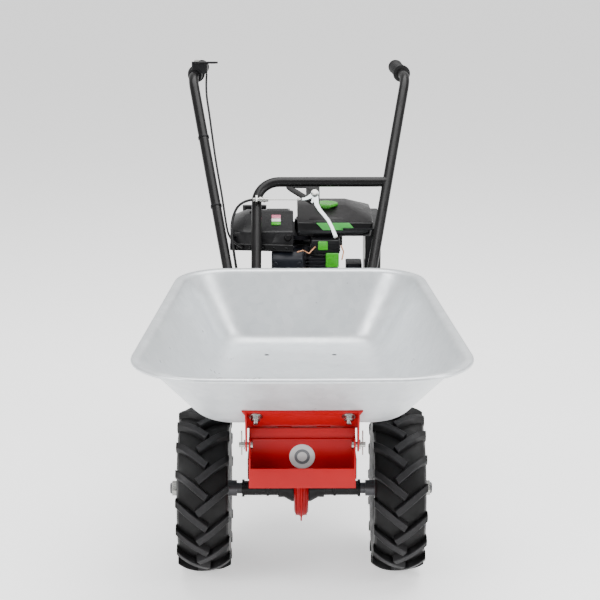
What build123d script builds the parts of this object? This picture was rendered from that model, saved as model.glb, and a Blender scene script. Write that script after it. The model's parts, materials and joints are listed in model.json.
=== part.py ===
from build123d import *
import os
from math import atan, cos, degrees, pi, radians, sin, tan

# Power wheelbarrow: a galvanised tipping bin on two driven wheels, with a petrol engine behind it.
# Units are mm. +Z is up, the bin's lip faces -Y, the handles are at +Y and X runs across.
# Everything is drawn from the point on the ground below the axle. The last section moves the
# machine so that its origin is the middle of its footprint, on the ground.

# ---------------------------------------------------------------- driving dimensions
RUNNING_FIT = 0.05        # radial clearance of a shaft in its bush
PIN_FIT = 0.1             # radial clearance of a hinge pin in a moving ear
CLEAR = 0.3               # gap between faces of pieces that move past each other

# wheels and axle
TYRE_R = 165
TYRE_WIDTH = 105
TYRE_CARCASS_R = 150
TRACK_HALF = 191.5        # from the middle of the machine to the middle of a tyre
RIM_R = 76
RIM_FLANGE_R = 86
LUG_COUNT = 16            # on each side of each tyre
LUG_WIDTH = 14
AXLE_R = 11
AXLE_Z = TYRE_R
HUB_R = AXLE_R + 9
HUB_FLANGE_R = 45
HUB_COLLAR_R = AXLE_R + 5
HUB_INNER_X = 128         # inner end of the hub's collar
WHEEL_BOLT_PCR = 35

# axle tubes, flanges and gearbox
BUSH_WALL = 2
AXLE_TUBE_WALL = 1.5
AXLE_TUBE_BORE_R = AXLE_R + BUSH_WALL
AXLE_TUBE_R = AXLE_TUBE_BORE_R + AXLE_TUBE_WALL
AXLE_TUBE_END_X = 118
BUSH_LENGTH = 14
CONE_BASE_R = 27
CONE_COLLAR_R = AXLE_TUBE_R + 4
CONE_X = (34, 46)         # outer ends of the cone and of its collar
CASE_HALF_WIDTH = 14.5
CASE_R = 55
CASE_WALL = 3
CASE_FLANGE_R = 66
CASE_FLANGE_HALF = 1.8
WORM_R = 10.5
WORM_ROOT_R = 6.5
WORM_SHAFT_R = 6
GEAR_TEETH = 24
GEAR_PITCH_R = 42
GEAR_TIP_R = 43.4
GEAR_ROOT_R = 37.5
GEAR_WIDTH = 13
GEAR_GAP = 6.4            # width of a gap at its floor
WORM_PITCH_R = 8.5
WORM_Y = GEAR_PITCH_R + WORM_PITCH_R
WORM_LEAD = 2 * pi * GEAR_PITCH_R / GEAR_TEETH
WORM_TURNS = 4
GEAR_PHASE = 11.25        # degrees that bring a gap of the wheel to the worm's thread
CASE_BOTTOM_Z = AXLE_Z - 50
CASE_TOP_Z = AXLE_Z + 75

# belt drive
BELT_Z = 300
BELT_HALF_HEIGHT = 4.8
BELT_DEPTH = 8
DRIVEN_PULLEY_R = 50
CRANK_PULLEY_R = 32
PULLEY_HALF_WIDTH = 8
CRANK_Y = 600
ARM_LENGTH = 70

# chassis
RAIL_X = (70, 100)        # inner and outer faces of a rail
RAIL_Z = (285, 325)
RAIL_WALL = 2.5
RAIL_FRONT_Y = -286
RAIL_REAR_Y = 770
PLATE_THICK = 4
STAND_Y = 610
STAND_TUBE_R = 11
STAND_PAD = (34, 60, 5)   # width, length and height of a foot

# front box and tip hinge
BOX_HALF = 96.8
BOX_BACK_Y = -290
BOX_FRONT_Y = -330
BOX_Z = (283, 365)
BOX_LIP_Z = 320
BOX_BACK_TOP_Z = 384      # the back plate closes the gap up to the bin
SHEET = 3
HINGE_Y = -305
HINGE_Z = 358
PIN_R = 5
EAR_GAP = 3.2             # between the box's side and the moving ear
PIN_END_X = 115

# bin
BIN_SHEET = 1.5
FLOOR_Z = 388
FLOOR_FRONT_Y = -280
FLOOR_REAR_Y = 285
FLOOR_HALF_FRONT = 188
FLOOR_HALF_REAR = 160
FLOOR_CORNER_R = 65
RIM_FRONT_Y = -460
RIM_REAR_Y = 340
RIM_HALF_FRONT = 320
RIM_HALF_REAR = 254
RIM_CORNER_FRONT_R = 140
RIM_CORNER_REAR_R = 110
RIM_FRONT_Z = 527
RIM_REAR_Z = 540
RIM_FLANGE = 18
BEAD_WIDTH = 6
BEAD_DEPTH = 9
FLOOR_BOLT_X = 70
FLOOR_BOLT_Y = 190
FLOOR_BOLT_R = 5
FLOOR_BOLT_HEAD = (8, 3)    # radius and height, let into the underside of the saddle

# handlebar
TUBE_R = 11
TUBE_WALL = 1.8
BAR_Y = 400               # where the handle tubes cross the height BAR_Z
BAR_Z = 526
BAR_LEAN = 0.8            # backwards for each millimetre up
BAR_HALF = 157            # half spread of the tubes at BAR_Z
BAR_SPREAD = 0.2274       # outwards for each millimetre up
KNEE_Z = 482
TOP_Z = 898
GRIP_END = (228, 882, 902)
GRIP_R = 16
GRIP_LENGTH = 120
GRIP_RING_R = 20
CROSS_Z = 689
LEG_X = -94.5
LEVER_PIVOT = (33, 659)   # X and Z
CABLE_R = 3
WIRE_R = 1

# engine
ENGINE_X = (-154, 180)
SHROUD_SPLIT_X = (-12, -6)
ENGINE_FRONT_Y = 445
ENGINE_REAR_Y = 745
CRANKCASE_TOP_Z = 430
SHROUD_Z = (548, 620)
TANK_Z = (596, 632)
ENGINE_WALL = 2.5
SHROUD_FOOT_Y = 450       # front of the left cover at its lower edge
TANK_FOOT_Y = 480
BAR_TO_ENGINE = 24        # from the handlebar's plane back to a cover's top edge
FLYWHEEL_R = 80
STARTER = (-104, 584)     # X and Z of the pull rope
CRANK_R = 11

nodes = {}


# ---------------------------------------------------------------- helpers
def facing_right(x):
    """Plane at X = x whose own axes are Y and Z. Material grows towards +X."""
    return Plane(origin=(x, 0, 0), x_dir=(0, 1, 0), z_dir=(1, 0, 0))


def facing_front(y):
    """Plane at Y = y whose own axes are X and Z. Material grows towards -Y."""
    return Plane(origin=(0, y, 0), x_dir=(1, 0, 0), z_dir=(0, -1, 0))


def facing_up(z):
    """Plane at Z = z whose own axes are X and Y. Material grows upwards."""
    return Plane.XY.offset(z)


def disc(plane, u, v, radius, thickness, hole=0, mode=Mode.ADD):
    """Round plate on a plane, centred at (u, v), with a hole if one is given."""
    with BuildSketch(plane) as outline:
        with Locations((u, v)):
            Circle(radius)
            if hole:
                Circle(hole, mode=Mode.SUBTRACT)
    extrude(outline.sketch, amount=thickness, mode=mode)


def plate(plane, points, thickness, corner=0, holes=(), hole_r=0, mode=Mode.ADD):
    """Flat plate with the given outline, its corners rounded, and a row of equal holes."""
    with BuildSketch(plane) as outline:
        with BuildLine():
            Polyline(*points, close=True)
        make_face()
        if corner:
            fillet(outline.vertices(), corner)
        if holes:
            with Locations(*holes):
                Circle(hole_r, mode=Mode.SUBTRACT)
    extrude(outline.sketch, amount=thickness, mode=mode)


def block(x, y, z, corner=0, mode=Mode.ADD):
    """Upright block between pairs of X, Y and Z values, its upright edges rounded."""
    with BuildSketch(facing_up(z[0])) as outline:
        with Locations(((x[0] + x[1]) / 2, (y[0] + y[1]) / 2)):
            if corner:
                RectangleRounded(x[1] - x[0], y[1] - y[0], corner)
            else:
                Rectangle(x[1] - x[0], y[1] - y[0])
    extrude(outline.sketch, amount=z[1] - z[0], mode=mode)


def hexagon(plane, u, v, radius, thickness):
    """Hexagonal bolt head or nut."""
    with BuildSketch(plane) as outline:
        with Locations((u, v)):
            RegularPolygon(radius, 6)
    extrude(outline.sketch, amount=thickness)


def bolt(plane, u, v, shank_r, length):
    """Hexagon bolt whose head stands on the plane and whose shank goes back through it."""
    hexagon(plane, u, v, shank_r * 1.9, shank_r * 1.3)
    disc(plane, u, v, shank_r, -length)


def bent_tube(points, radii, outer_r, bore_r=0, mode=Mode.ADD):
    """Round tube or rod along straight runs joined by bends."""
    with BuildLine() as route:
        FilletPolyline(*points, radius=radii)
    line = route.line
    with BuildSketch(Plane(origin=line @ 0, z_dir=line % 0)) as section:
        Circle(outer_r)
        if bore_r:
            Circle(bore_r, mode=Mode.SUBTRACT)
    sweep(section.sketch, path=line, mode=mode)


def cable(name, points, radius):
    """Cable whose every bend is as large as the two runs beside it allow."""
    corners = [Vector(*point) for point in points]
    radii = []
    for before, corner, after in zip(corners, corners[1:], corners[2:]):
        turn = radians((corner - before).get_angle(after - corner))
        shorter = min((corner - before).length, (after - corner).length)
        radii.append(0.45 * shorter / tan(turn / 2))
    print(name, "bend radii", [round(bend) for bend in radii])
    bent_tube(points, radii, radius)


def keep(builder, name):
    """Label a finished piece and set it aside. Like pieces given one name share a node."""
    builder.part.label = name
    nodes.setdefault(name, []).append(builder.part)


def bar_y(z):
    """Y of the handlebar's leaning plane at a height."""
    return BAR_Y + BAR_LEAN * (z - BAR_Z)


def bar_x(z):
    """Distance from the middle to a handle tube's centre line at a height."""
    return BAR_HALF + BAR_SPREAD * (z - BAR_Z)


AXLE_LINE = Axis((0, 0, AXLE_Z), (1, 0, 0))
LEFT, RIGHT = -1, 1
SIDES = ((LEFT, "left"), (RIGHT, "right"))


# ---------------------------------------------------------------- wheels
def tyre_envelope(middle_x):
    """Section that every lug ends on: a gently crowned tread with rounded shoulders."""
    half = TYRE_WIDTH / 2 - 1
    shoulder_r = TYRE_R - 12
    with BuildSketch(facing_front(0)) as section:
        with BuildLine():
            Line((middle_x - half, AXLE_Z + 100), (middle_x - half, AXLE_Z + shoulder_r))
            ThreePointArc(
                (middle_x - half, AXLE_Z + shoulder_r),
                (middle_x, AXLE_Z + TYRE_R),
                (middle_x + half, AXLE_Z + shoulder_r),
            )
            Line((middle_x + half, AXLE_Z + shoulder_r), (middle_x + half, AXLE_Z + 100))
            Line((middle_x + half, AXLE_Z + 100), (middle_x - half, AXLE_Z + 100))
        make_face()
    return section.sketch


def tyre_carcass(middle_x):
    """Hollow tyre section, open at the beads where it sits on the rim."""
    bead_x, bulge_x, shoulder_x = RIM_FLANGE_R - 48, TYRE_WIDTH / 2, 45
    wall = 8

    def at(x, r):
        return (middle_x + x, AXLE_Z + r)

    with BuildSketch(facing_front(0)) as section:
        with BuildLine():
            for side in (LEFT, RIGHT):
                Polyline(
                    at(side * (bead_x - wall), RIM_R + 14),
                    at(side * (bead_x - wall), RIM_R),
                    at(side * bead_x, RIM_R),
                    at(side * bead_x, RIM_FLANGE_R + 1),
                )
                ThreePointArc(
                    at(side * bead_x, RIM_FLANGE_R + 1),
                    at(side * bulge_x, 118),
                    at(side * shoulder_x, TYRE_CARCASS_R - 7),
                )
                ThreePointArc(
                    at(side * (bead_x - wall), RIM_R + 14),
                    at(side * (bulge_x - wall), 118),
                    at(side * (shoulder_x - wall), TYRE_CARCASS_R - 15),
                )
            ThreePointArc(
                at(-shoulder_x, TYRE_CARCASS_R - 7), at(0, TYRE_CARCASS_R), at(shoulder_x, TYRE_CARCASS_R - 7)
            )
            ThreePointArc(
                at(wall - shoulder_x, TYRE_CARCASS_R - 15),
                at(0, TYRE_CARCASS_R - wall),
                at(shoulder_x - wall, TYRE_CARCASS_R - 15),
            )
        make_face()
    return section.sketch


def make_tyre(side, name):
    """Tyre with two rows of slanted lugs that meet in staggered arrowheads."""
    middle_x = side * TRACK_HALF
    reach = TYRE_WIDTH / 2 + 4
    with BuildPart() as lugs:
        for row in (LEFT, RIGHT):
            for number in range(LUG_COUNT):
                angle = 2 * pi * (number + (0 if row == LEFT else 0.5)) / LUG_COUNT
                base = Plane(
                    origin=(middle_x, 0, AXLE_Z), x_dir=(1, 0, 0), z_dir=(0, sin(angle), -cos(angle))
                ).offset(TYRE_CARCASS_R - 8)
                with BuildSketch(base) as bar:
                    with BuildLine():
                        Polyline(
                            (-row * 4, -LUG_WIDTH * 0.7),
                            (-row * 4, LUG_WIDTH * 0.7),
                            (row * reach, LUG_WIDTH * 0.7 + reach * 0.75),
                            (row * reach, -LUG_WIDTH * 0.7 + reach * 0.75),
                            close=True,
                        )
                    make_face()
                extrude(bar.sketch, amount=40)
        revolve(tyre_envelope(middle_x), axis=AXLE_LINE, mode=Mode.INTERSECT)
    with BuildPart() as tyre:
        revolve(tyre_carcass(middle_x), axis=AXLE_LINE)
        add(lugs.part)
        add(tyre_cavity(middle_x), mode=Mode.SUBTRACT)
    keep(tyre, name)


def tyre_cavity(middle_x):
    """Air space of a tyre, so that no lug stands inside it."""
    with BuildPart() as cavity:
        disc(facing_right(middle_x - 36), 0, AXLE_Z, TYRE_CARCASS_R - 15, 72)
    return cavity.part


def make_rim(side):
    """Pressed steel rim with a web bolted to the hub's flange."""
    middle_x = side * TRACK_HALF
    bead_x, flange_x, web = RIM_FLANGE_R - 48, RIM_FLANGE_R - 45, 3

    def at(x, r):
        return (middle_x + side * x, AXLE_Z + r)

    with BuildPart() as rim:
        with BuildSketch(facing_front(0)) as section:
            with BuildLine():
                Polyline(
                    at(-flange_x, RIM_FLANGE_R), at(-bead_x, RIM_FLANGE_R), at(-bead_x, RIM_R),
                    at(-26, RIM_R), at(-20, 66), at(20, 66), at(26, RIM_R), at(bead_x, RIM_R),
                    at(bead_x, RIM_FLANGE_R), at(flange_x, RIM_FLANGE_R), at(flange_x, RIM_R - 3),
                    at(27, RIM_R - 3), at(21, 63), at(web, 63), at(web, HUB_R), at(0, HUB_R),
                    at(0, 63), at(-21, 63), at(-27, RIM_R - 3), at(-flange_x, RIM_R - 3),
                    close=True,
                )
            make_face()
        revolve(section.sketch, axis=AXLE_LINE)
        for number in range(4):
            angle = pi / 2 * number
            disc(
                facing_right(middle_x - 10), WHEEL_BOLT_PCR * cos(angle),
                AXLE_Z + WHEEL_BOLT_PCR * sin(angle), 4, 20, mode=Mode.SUBTRACT,
            )
        disc(facing_right(middle_x - side * 24), 0, AXLE_Z + 68, 4, side * 16, mode=Mode.SUBTRACT)
    keep(rim, "rims")


def make_hub(side):
    """Hub tube with the flange that carries the rim."""
    middle_x = side * TRACK_HALF
    with BuildPart() as hub:
        outer_end = side * (TRACK_HALF + 52)
        inner_end = side * HUB_INNER_X
        step = side * (HUB_INNER_X + 18)
        disc(facing_right(step), 0, AXLE_Z, HUB_R, outer_end - step)
        disc(facing_right(inner_end), 0, AXLE_Z, HUB_COLLAR_R, step - inner_end)
        disc(facing_right(middle_x), 0, AXLE_Z, HUB_FLANGE_R, -side * 6)
        disc(facing_right(inner_end), 0, AXLE_Z, AXLE_R, outer_end - inner_end, mode=Mode.SUBTRACT)
        for number in range(4):
            angle = pi / 2 * number
            disc(
                facing_right(middle_x - 12), WHEEL_BOLT_PCR * cos(angle),
                AXLE_Z + WHEEL_BOLT_PCR * sin(angle), 4, 24, mode=Mode.SUBTRACT,
            )
    keep(hub, "hubs")


for side, word in SIDES:
    make_tyre(side, word + "_tyre")
    make_rim(side)
    make_hub(side)

with BuildPart() as hub_bolts:
    for side, word in SIDES:
        out_face = Plane(origin=(side * (TRACK_HALF + 3), 0, 0), x_dir=(0, 1, 0), z_dir=(side, 0, 0))
        v_sign = side                     # the outward plane's second axis points down on the left
        for number in range(4):
            angle = pi / 2 * number
            bolt(
                out_face, WHEEL_BOLT_PCR * cos(angle),
                v_sign * (AXLE_Z + WHEEL_BOLT_PCR * sin(angle)), 4, 16,
            )
keep(hub_bolts, "wheel_fasteners")

with BuildPart() as valve_stems:
    for side, word in SIDES:
        foot = facing_right(side * (TRACK_HALF - 24))
        disc(foot, 0, AXLE_Z + 68, 4, side * 15.5)
        disc(foot, 0, AXLE_Z + 68, 2.8, -side * 14)
keep(valve_stems, "rims")

with BuildPart() as axle_shaft:
    disc(facing_right(-TRACK_HALF - 70), 0, AXLE_Z, AXLE_R, 2 * TRACK_HALF + 140)
    chamfer(axle_shaft.edges().filter_by(GeomType.CIRCLE), 1.5)
keep(axle_shaft, "axle_shaft")

with BuildPart() as axle_nuts:
    for side, word in SIDES:
        outer_end = side * (TRACK_HALF + 52)
        disc(facing_right(outer_end), 0, AXLE_Z, AXLE_R + 3, side * 3, hole=AXLE_R)
        hexagon(facing_right(outer_end + side * 3), 0, AXLE_Z, AXLE_R + 4, side * 11)
        disc(facing_right(outer_end), 0, AXLE_Z, AXLE_R, side * 14, mode=Mode.SUBTRACT)
keep(axle_nuts, "wheel_fasteners")


# ---------------------------------------------------------------- worm gearbox
with BuildPart() as worm_wheel:
    disc(facing_right(-GEAR_WIDTH / 2), 0, AXLE_Z, GEAR_TIP_R, GEAR_WIDTH, hole=AXLE_R)
    lead_slope = WORM_LEAD / (2 * pi * WORM_PITCH_R)
    for tooth in range(GEAR_TEETH):
        angle = 2 * pi * tooth / GEAR_TEETH + radians(GEAR_PHASE)
        outward = (0, cos(angle), sin(angle))
        gap_floor = Plane(
            origin=(0, GEAR_ROOT_R * cos(angle), AXLE_Z + GEAR_ROOT_R * sin(angle)),
            x_dir=(1, 0, 0), z_dir=outward,
        )
        with BuildSketch(gap_floor) as gap:
            Rectangle(GEAR_WIDTH + 14, GEAR_GAP, rotation=-degrees(atan(lead_slope)))
        extrude(gap.sketch, amount=12, taper=-8, mode=Mode.SUBTRACT)
keep(worm_wheel, "worm_wheel")

with BuildPart() as worm_shaft:
    thread_start = AXLE_Z - WORM_LEAD * WORM_TURNS / 2
    disc(facing_up(CASE_BOTTOM_Z + 5), 0, WORM_Y, WORM_SHAFT_R, BELT_Z + 18 - CASE_BOTTOM_Z - 5)
    disc(facing_up(thread_start - 4), 0, WORM_Y, WORM_ROOT_R, WORM_LEAD * WORM_TURNS + 8)
    with BuildLine() as thread_line:
        Helix(WORM_LEAD, WORM_LEAD * WORM_TURNS, WORM_ROOT_R, center=(0, WORM_Y, thread_start))
    start = thread_line.line @ 0
    with BuildSketch(Plane(origin=start, x_dir=(1, 0, 0), z_dir=thread_line.line % 0)) as thread:
        with BuildLine():
            Polyline((-1, -2.4), (WORM_R - WORM_ROOT_R, -1.2), (WORM_R - WORM_ROOT_R, 1.2), (-1, 2.4), close=True)
        make_face()
    sweep(thread.sketch, path=thread_line.line, is_frenet=True)
keep(worm_shaft, "worm_shaft")

with BuildPart() as driven_pulley:
    disc(facing_up(BELT_Z - PULLEY_HALF_WIDTH), 0, WORM_Y, DRIVEN_PULLEY_R, 2 * PULLEY_HALF_WIDTH)
    with BuildSketch(facing_front(WORM_Y)) as groove:
        with BuildLine():
            Polyline(
                (DRIVEN_PULLEY_R - 12, BELT_Z - 5.4), (DRIVEN_PULLEY_R + 1, BELT_Z - 6.6),
                (DRIVEN_PULLEY_R + 1, BELT_Z + 6.6), (DRIVEN_PULLEY_R - 12, BELT_Z + 5.4), close=True,
            )
        make_face()
    revolve(groove.sketch, axis=Axis((0, WORM_Y, 0), (0, 0, 1)), mode=Mode.SUBTRACT)
    disc(facing_up(BELT_Z - 14), 0, WORM_Y, 14, 28)
    disc(facing_up(BELT_Z - 14), 0, WORM_Y, WORM_SHAFT_R, 28, mode=Mode.SUBTRACT)
keep(driven_pulley, "worm_shaft")


def gearbox_shell():
    """Whole gearbox casing: a round case for the wheel with an upright barrel for the worm."""
    with BuildPart() as shell:
        disc(facing_right(-CASE_HALF_WIDTH), 0, AXLE_Z, CASE_R, 2 * CASE_HALF_WIDTH)
        disc(facing_up(CASE_BOTTOM_Z), 0, WORM_Y, CASE_HALF_WIDTH, CASE_TOP_Z - CASE_BOTTOM_Z)
        disc(facing_right(-CASE_FLANGE_HALF), 0, AXLE_Z, CASE_FLANGE_R, 2 * CASE_FLANGE_HALF)
        block(
            (-CASE_FLANGE_HALF, CASE_FLANGE_HALF), (WORM_Y - 24, WORM_Y + 24), (CASE_BOTTOM_Z, CASE_TOP_Z)
        )
        inside = CASE_HALF_WIDTH - CASE_WALL
        disc(facing_right(-inside), 0, AXLE_Z, CASE_R - CASE_WALL, 2 * inside, mode=Mode.SUBTRACT)
        disc(
            facing_up(CASE_BOTTOM_Z + 4), 0, WORM_Y, WORM_R + 1, CASE_TOP_Z - CASE_BOTTOM_Z,
            mode=Mode.SUBTRACT,
        )
        disc(facing_right(-CASE_HALF_WIDTH), 0, AXLE_Z, AXLE_TUBE_BORE_R, 2 * CASE_HALF_WIDTH, mode=Mode.SUBTRACT)
        with Locations(*case_bolt_places()):
            Hole(2.5)
    return shell.part


def case_bolt_places():
    """Bolts round the parting flange, as places whose own Z runs along X."""
    places = []
    for degrees_round in (100, 125, 150, 300):
        angle = radians(degrees_round)
        radius = CASE_FLANGE_R - 5
        places.append(
            Plane(
                origin=(CASE_FLANGE_HALF, radius * cos(angle), AXLE_Z + radius * sin(angle)),
                x_dir=(0, 1, 0), z_dir=(1, 0, 0),
            ).location
        )
    return places


for side, word in SIDES:
    with BuildPart() as case_half:
        add(gearbox_shell())
        split(bisect_by=Plane.YZ, keep=Keep.TOP if side == RIGHT else Keep.BOTTOM)
    keep(case_half, "gearbox_" + word + "_half")

with BuildPart() as gearbox_bolts:
    for place in case_bolt_places():
        along = Plane(place)
        bolt(along, 0, 0, 2.5, 2 * CASE_FLANGE_HALF + 5)
keep(gearbox_bolts, "frame_bolts")

with BuildPart() as worm_bearings:
    for low in (CASE_BOTTOM_Z + 8, CASE_TOP_Z - 12):
        disc(facing_up(low), 0, WORM_Y, WORM_R + 1, 8, hole=WORM_SHAFT_R + RUNNING_FIT)
keep(worm_bearings, "bearing_bushes")

with BuildPart() as oil_seals:
    for side, word in SIDES:
        disc(
            facing_right(side * (CASE_HALF_WIDTH - CASE_WALL)), 0, AXLE_Z, AXLE_TUBE_BORE_R, side * CASE_WALL,
            hole=AXLE_R + RUNNING_FIT,
        )
keep(oil_seals, "oil_seals")

with BuildPart() as axle_flanges:
    for side, word in SIDES:
        with BuildSketch(facing_front(0)) as section:
            with BuildLine():
                Polyline(
                    (side * CASE_HALF_WIDTH, AXLE_Z + AXLE_TUBE_R),
                    (side * CASE_HALF_WIDTH, AXLE_Z + CONE_BASE_R),
                    (side * (CASE_HALF_WIDTH + 4), AXLE_Z + CONE_BASE_R),
                    (side * CONE_X[0], AXLE_Z + CONE_COLLAR_R),
                    (side * CONE_X[1], AXLE_Z + CONE_COLLAR_R),
                    (side * CONE_X[1], AXLE_Z + AXLE_TUBE_R),
                    close=True,
                )
            make_face()
        revolve(section.sketch, axis=AXLE_LINE)
keep(axle_flanges, "axle_flanges")

with BuildPart() as axle_tubes:
    for side, word in SIDES:
        disc(
            facing_right(side * CASE_HALF_WIDTH), 0, AXLE_Z, AXLE_TUBE_R,
            side * (AXLE_TUBE_END_X - CASE_HALF_WIDTH), hole=AXLE_TUBE_BORE_R,
        )
        disc(
            facing_right(side * (AXLE_TUBE_END_X - 5)), 0, AXLE_Z, AXLE_TUBE_R + 3, side * 5,
            hole=AXLE_TUBE_R,
        )
keep(axle_tubes, "axle_tubes")

with BuildPart() as axle_bushes:
    for side, word in SIDES:
        for inner_x in (CASE_HALF_WIDTH + 8, AXLE_TUBE_END_X - BUSH_LENGTH):
            disc(
                facing_right(side * inner_x), 0, AXLE_Z, AXLE_TUBE_BORE_R, side * BUSH_LENGTH,
                hole=AXLE_R + RUNNING_FIT,
            )
keep(axle_bushes, "bearing_bushes")


# ---------------------------------------------------------------- belt drive
def belt_loop(reach):
    """Outline round both pulleys, a given distance inside their rims."""
    with BuildSketch(facing_up(BELT_Z - BELT_HALF_HEIGHT)) as outline:
        with Locations((0, WORM_Y)):
            Circle(DRIVEN_PULLEY_R - reach)
        with Locations((0, CRANK_Y)):
            Circle(CRANK_PULLEY_R - reach)
        make_hull()
    return outline.sketch


with BuildPart() as drive_belt:
    extrude(belt_loop(2), amount=2 * BELT_HALF_HEIGHT)
    extrude(belt_loop(2 + BELT_DEPTH), amount=2 * BELT_HALF_HEIGHT, mode=Mode.SUBTRACT)
keep(drive_belt, "drive_belt")

with BuildPart() as crankshaft:
    disc(facing_up(BELT_Z - 16), 0, CRANK_Y, CRANK_R, TANK_Z[0] - 4 - BELT_Z + 16)
    disc(facing_up(360), 0, CRANK_Y, 26, 8)
    disc(facing_up(388), 0, CRANK_Y, 26, 8)
    disc(facing_up(368), 0, CRANK_Y - 14, 9, 20)
keep(crankshaft, "crankshaft")

with BuildPart() as crank_pulley:
    disc(facing_up(BELT_Z - PULLEY_HALF_WIDTH), 0, CRANK_Y, CRANK_PULLEY_R, 2 * PULLEY_HALF_WIDTH)
    with BuildSketch(facing_front(CRANK_Y)) as groove:
        with BuildLine():
            Polyline(
                (CRANK_PULLEY_R - 12, BELT_Z - 5.4), (CRANK_PULLEY_R + 1, BELT_Z - 6.6),
                (CRANK_PULLEY_R + 1, BELT_Z + 6.6), (CRANK_PULLEY_R - 12, BELT_Z + 5.4), close=True,
            )
        make_face()
    revolve(groove.sketch, axis=Axis((0, CRANK_Y, 0), (0, 0, 1)), mode=Mode.SUBTRACT)
    disc(
        facing_up(BELT_Z - PULLEY_HALF_WIDTH), 0, CRANK_Y, CRANK_R, 2 * PULLEY_HALF_WIDTH, mode=Mode.SUBTRACT
    )
keep(crank_pulley, "crankshaft")

with BuildPart() as flywheel:
    disc(facing_up(SHROUD_Z[0] + 12), 0, CRANK_Y, FLYWHEEL_R, 10, hole=CRANK_R)
    for number in range(12):
        angle = 2 * pi * number / 12
        blade = Plane(
            origin=(0, CRANK_Y, SHROUD_Z[0] + 22), x_dir=(cos(angle), sin(angle), 0), z_dir=(0, 0, 1)
        )
        with BuildSketch(blade) as fin:
            with Locations((FLYWHEEL_R * 0.74, 0)):
                Rectangle(FLYWHEEL_R * 0.42, 3, rotation=20)
        extrude(fin.sketch, amount=12)
keep(flywheel, "flywheel")

ARM_PIVOT = (58, 330)
IDLER_Y = ARM_PIVOT[1] - ARM_LENGTH
with BuildPart() as tensioner_arm:
    disc(facing_up(BELT_Z + 9), ARM_PIVOT[0], ARM_PIVOT[1], 10, 5)
    block((ARM_PIVOT[0] - 7, ARM_PIVOT[0] + 7), (IDLER_Y, ARM_PIVOT[1]), (BELT_Z + 9, BELT_Z + 14))
    disc(facing_up(BELT_Z + 9), ARM_PIVOT[0], IDLER_Y, 9, 5)
    disc(facing_up(BELT_Z - 9), ARM_PIVOT[0], IDLER_Y, 4, 18)
    disc(facing_up(BELT_Z - 11), ARM_PIVOT[0], IDLER_Y, 6, 2)
    disc(facing_up(BELT_Z), ARM_PIVOT[0], ARM_PIVOT[1], 4 + PIN_FIT, 20, mode=Mode.SUBTRACT)
keep(tensioner_arm, "tensioner_arm")

with BuildPart() as idler_pulley:
    idler_r = RAIL_X[0] - ARM_PIVOT[0] - 1.5
    disc(facing_up(BELT_Z - 8), ARM_PIVOT[0], IDLER_Y, idler_r, 16, hole=4 + RUNNING_FIT)
keep(idler_pulley, "idler_pulley")


# ---------------------------------------------------------------- chassis
def make_rail(side, name):
    """Square-tube rail, drilled for the handle tube's bolts."""
    middle_x = side * (RAIL_X[0] + RAIL_X[1]) / 2
    middle_z = (RAIL_Z[0] + RAIL_Z[1]) / 2
    width, height = RAIL_X[1] - RAIL_X[0], RAIL_Z[1] - RAIL_Z[0]
    with BuildPart() as rail:
        with BuildSketch(facing_front(RAIL_REAR_Y)) as section:
            with Locations((middle_x, middle_z)):
                RectangleRounded(width, height, 4)
                RectangleRounded(width - 2 * RAIL_WALL, height - 2 * RAIL_WALL, 2, mode=Mode.SUBTRACT)
        extrude(section.sketch, amount=RAIL_REAR_Y - RAIL_FRONT_Y)
        for bolt_z in HANDLE_BOLT_Z:
            disc(
                facing_right(middle_x - width), bar_y(KNEE_Z), bolt_z, 4, 2 * width, mode=Mode.SUBTRACT
            )
    keep(rail, name)


HANDLE_BOLT_Z = (RAIL_Z[0] + 11, RAIL_Z[1] - 11)
for side, word in SIDES:
    make_rail(side, word + "_rail")

CROSSBAR_Y = (-240, 120, 415, 700)
with BuildPart() as crossbars:
    for bar_middle in CROSSBAR_Y:
        block(
            (-RAIL_X[0], RAIL_X[0]), (bar_middle - 16, bar_middle + 16), (RAIL_Z[1] - 8, RAIL_Z[1])
        )
keep(crossbars, "crossbars")

with BuildPart() as axle_hangers:
    for side, word in SIDES:
        plate(
            facing_right(side * 64), [(-38, RAIL_Z[0]), (38, RAIL_Z[0]), (24, AXLE_Z - 10), (-24, AXLE_Z - 10)],
            side * 5, corner=6, holes=[(0, AXLE_Z)], hole_r=AXLE_TUBE_R,
        )
        block((side * 82.5 - 18.5, side * 82.5 + 18.5), (-38, 38), (RAIL_Z[0] - 5, RAIL_Z[0]))
keep(axle_hangers, "axle_hangers")

with BuildPart() as engine_plate:
    block((-RAIL_X[1] - 4, RAIL_X[1] + 4), (ENGINE_FRONT_Y, 760), (RAIL_Z[1], RAIL_Z[1] + PLATE_THICK), corner=8)
    disc(facing_up(RAIL_Z[1]), 0, CRANK_Y, 22, PLATE_THICK, mode=Mode.SUBTRACT)
    for bolt_x in (-50, 50):
        for bolt_y in (530, 670):
            disc(facing_up(RAIL_Z[1]), bolt_x, bolt_y, 4, PLATE_THICK, mode=Mode.SUBTRACT)
keep(engine_plate, "engine_plate")

with BuildPart() as arm_pivot_bolt:
    disc(facing_up(BELT_Z + 6), ARM_PIVOT[0], ARM_PIVOT[1], 4, RAIL_Z[1] - BELT_Z - 6)
    disc(facing_up(BELT_Z + 3), ARM_PIVOT[0], ARM_PIVOT[1], 7, 3)
    block((ARM_PIVOT[0] - 10, RAIL_X[0]), (ARM_PIVOT[1] - 12, ARM_PIVOT[1] + 12), (RAIL_Z[1] - 8, RAIL_Z[1]))
keep(arm_pivot_bolt, "arm_mount")

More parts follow.
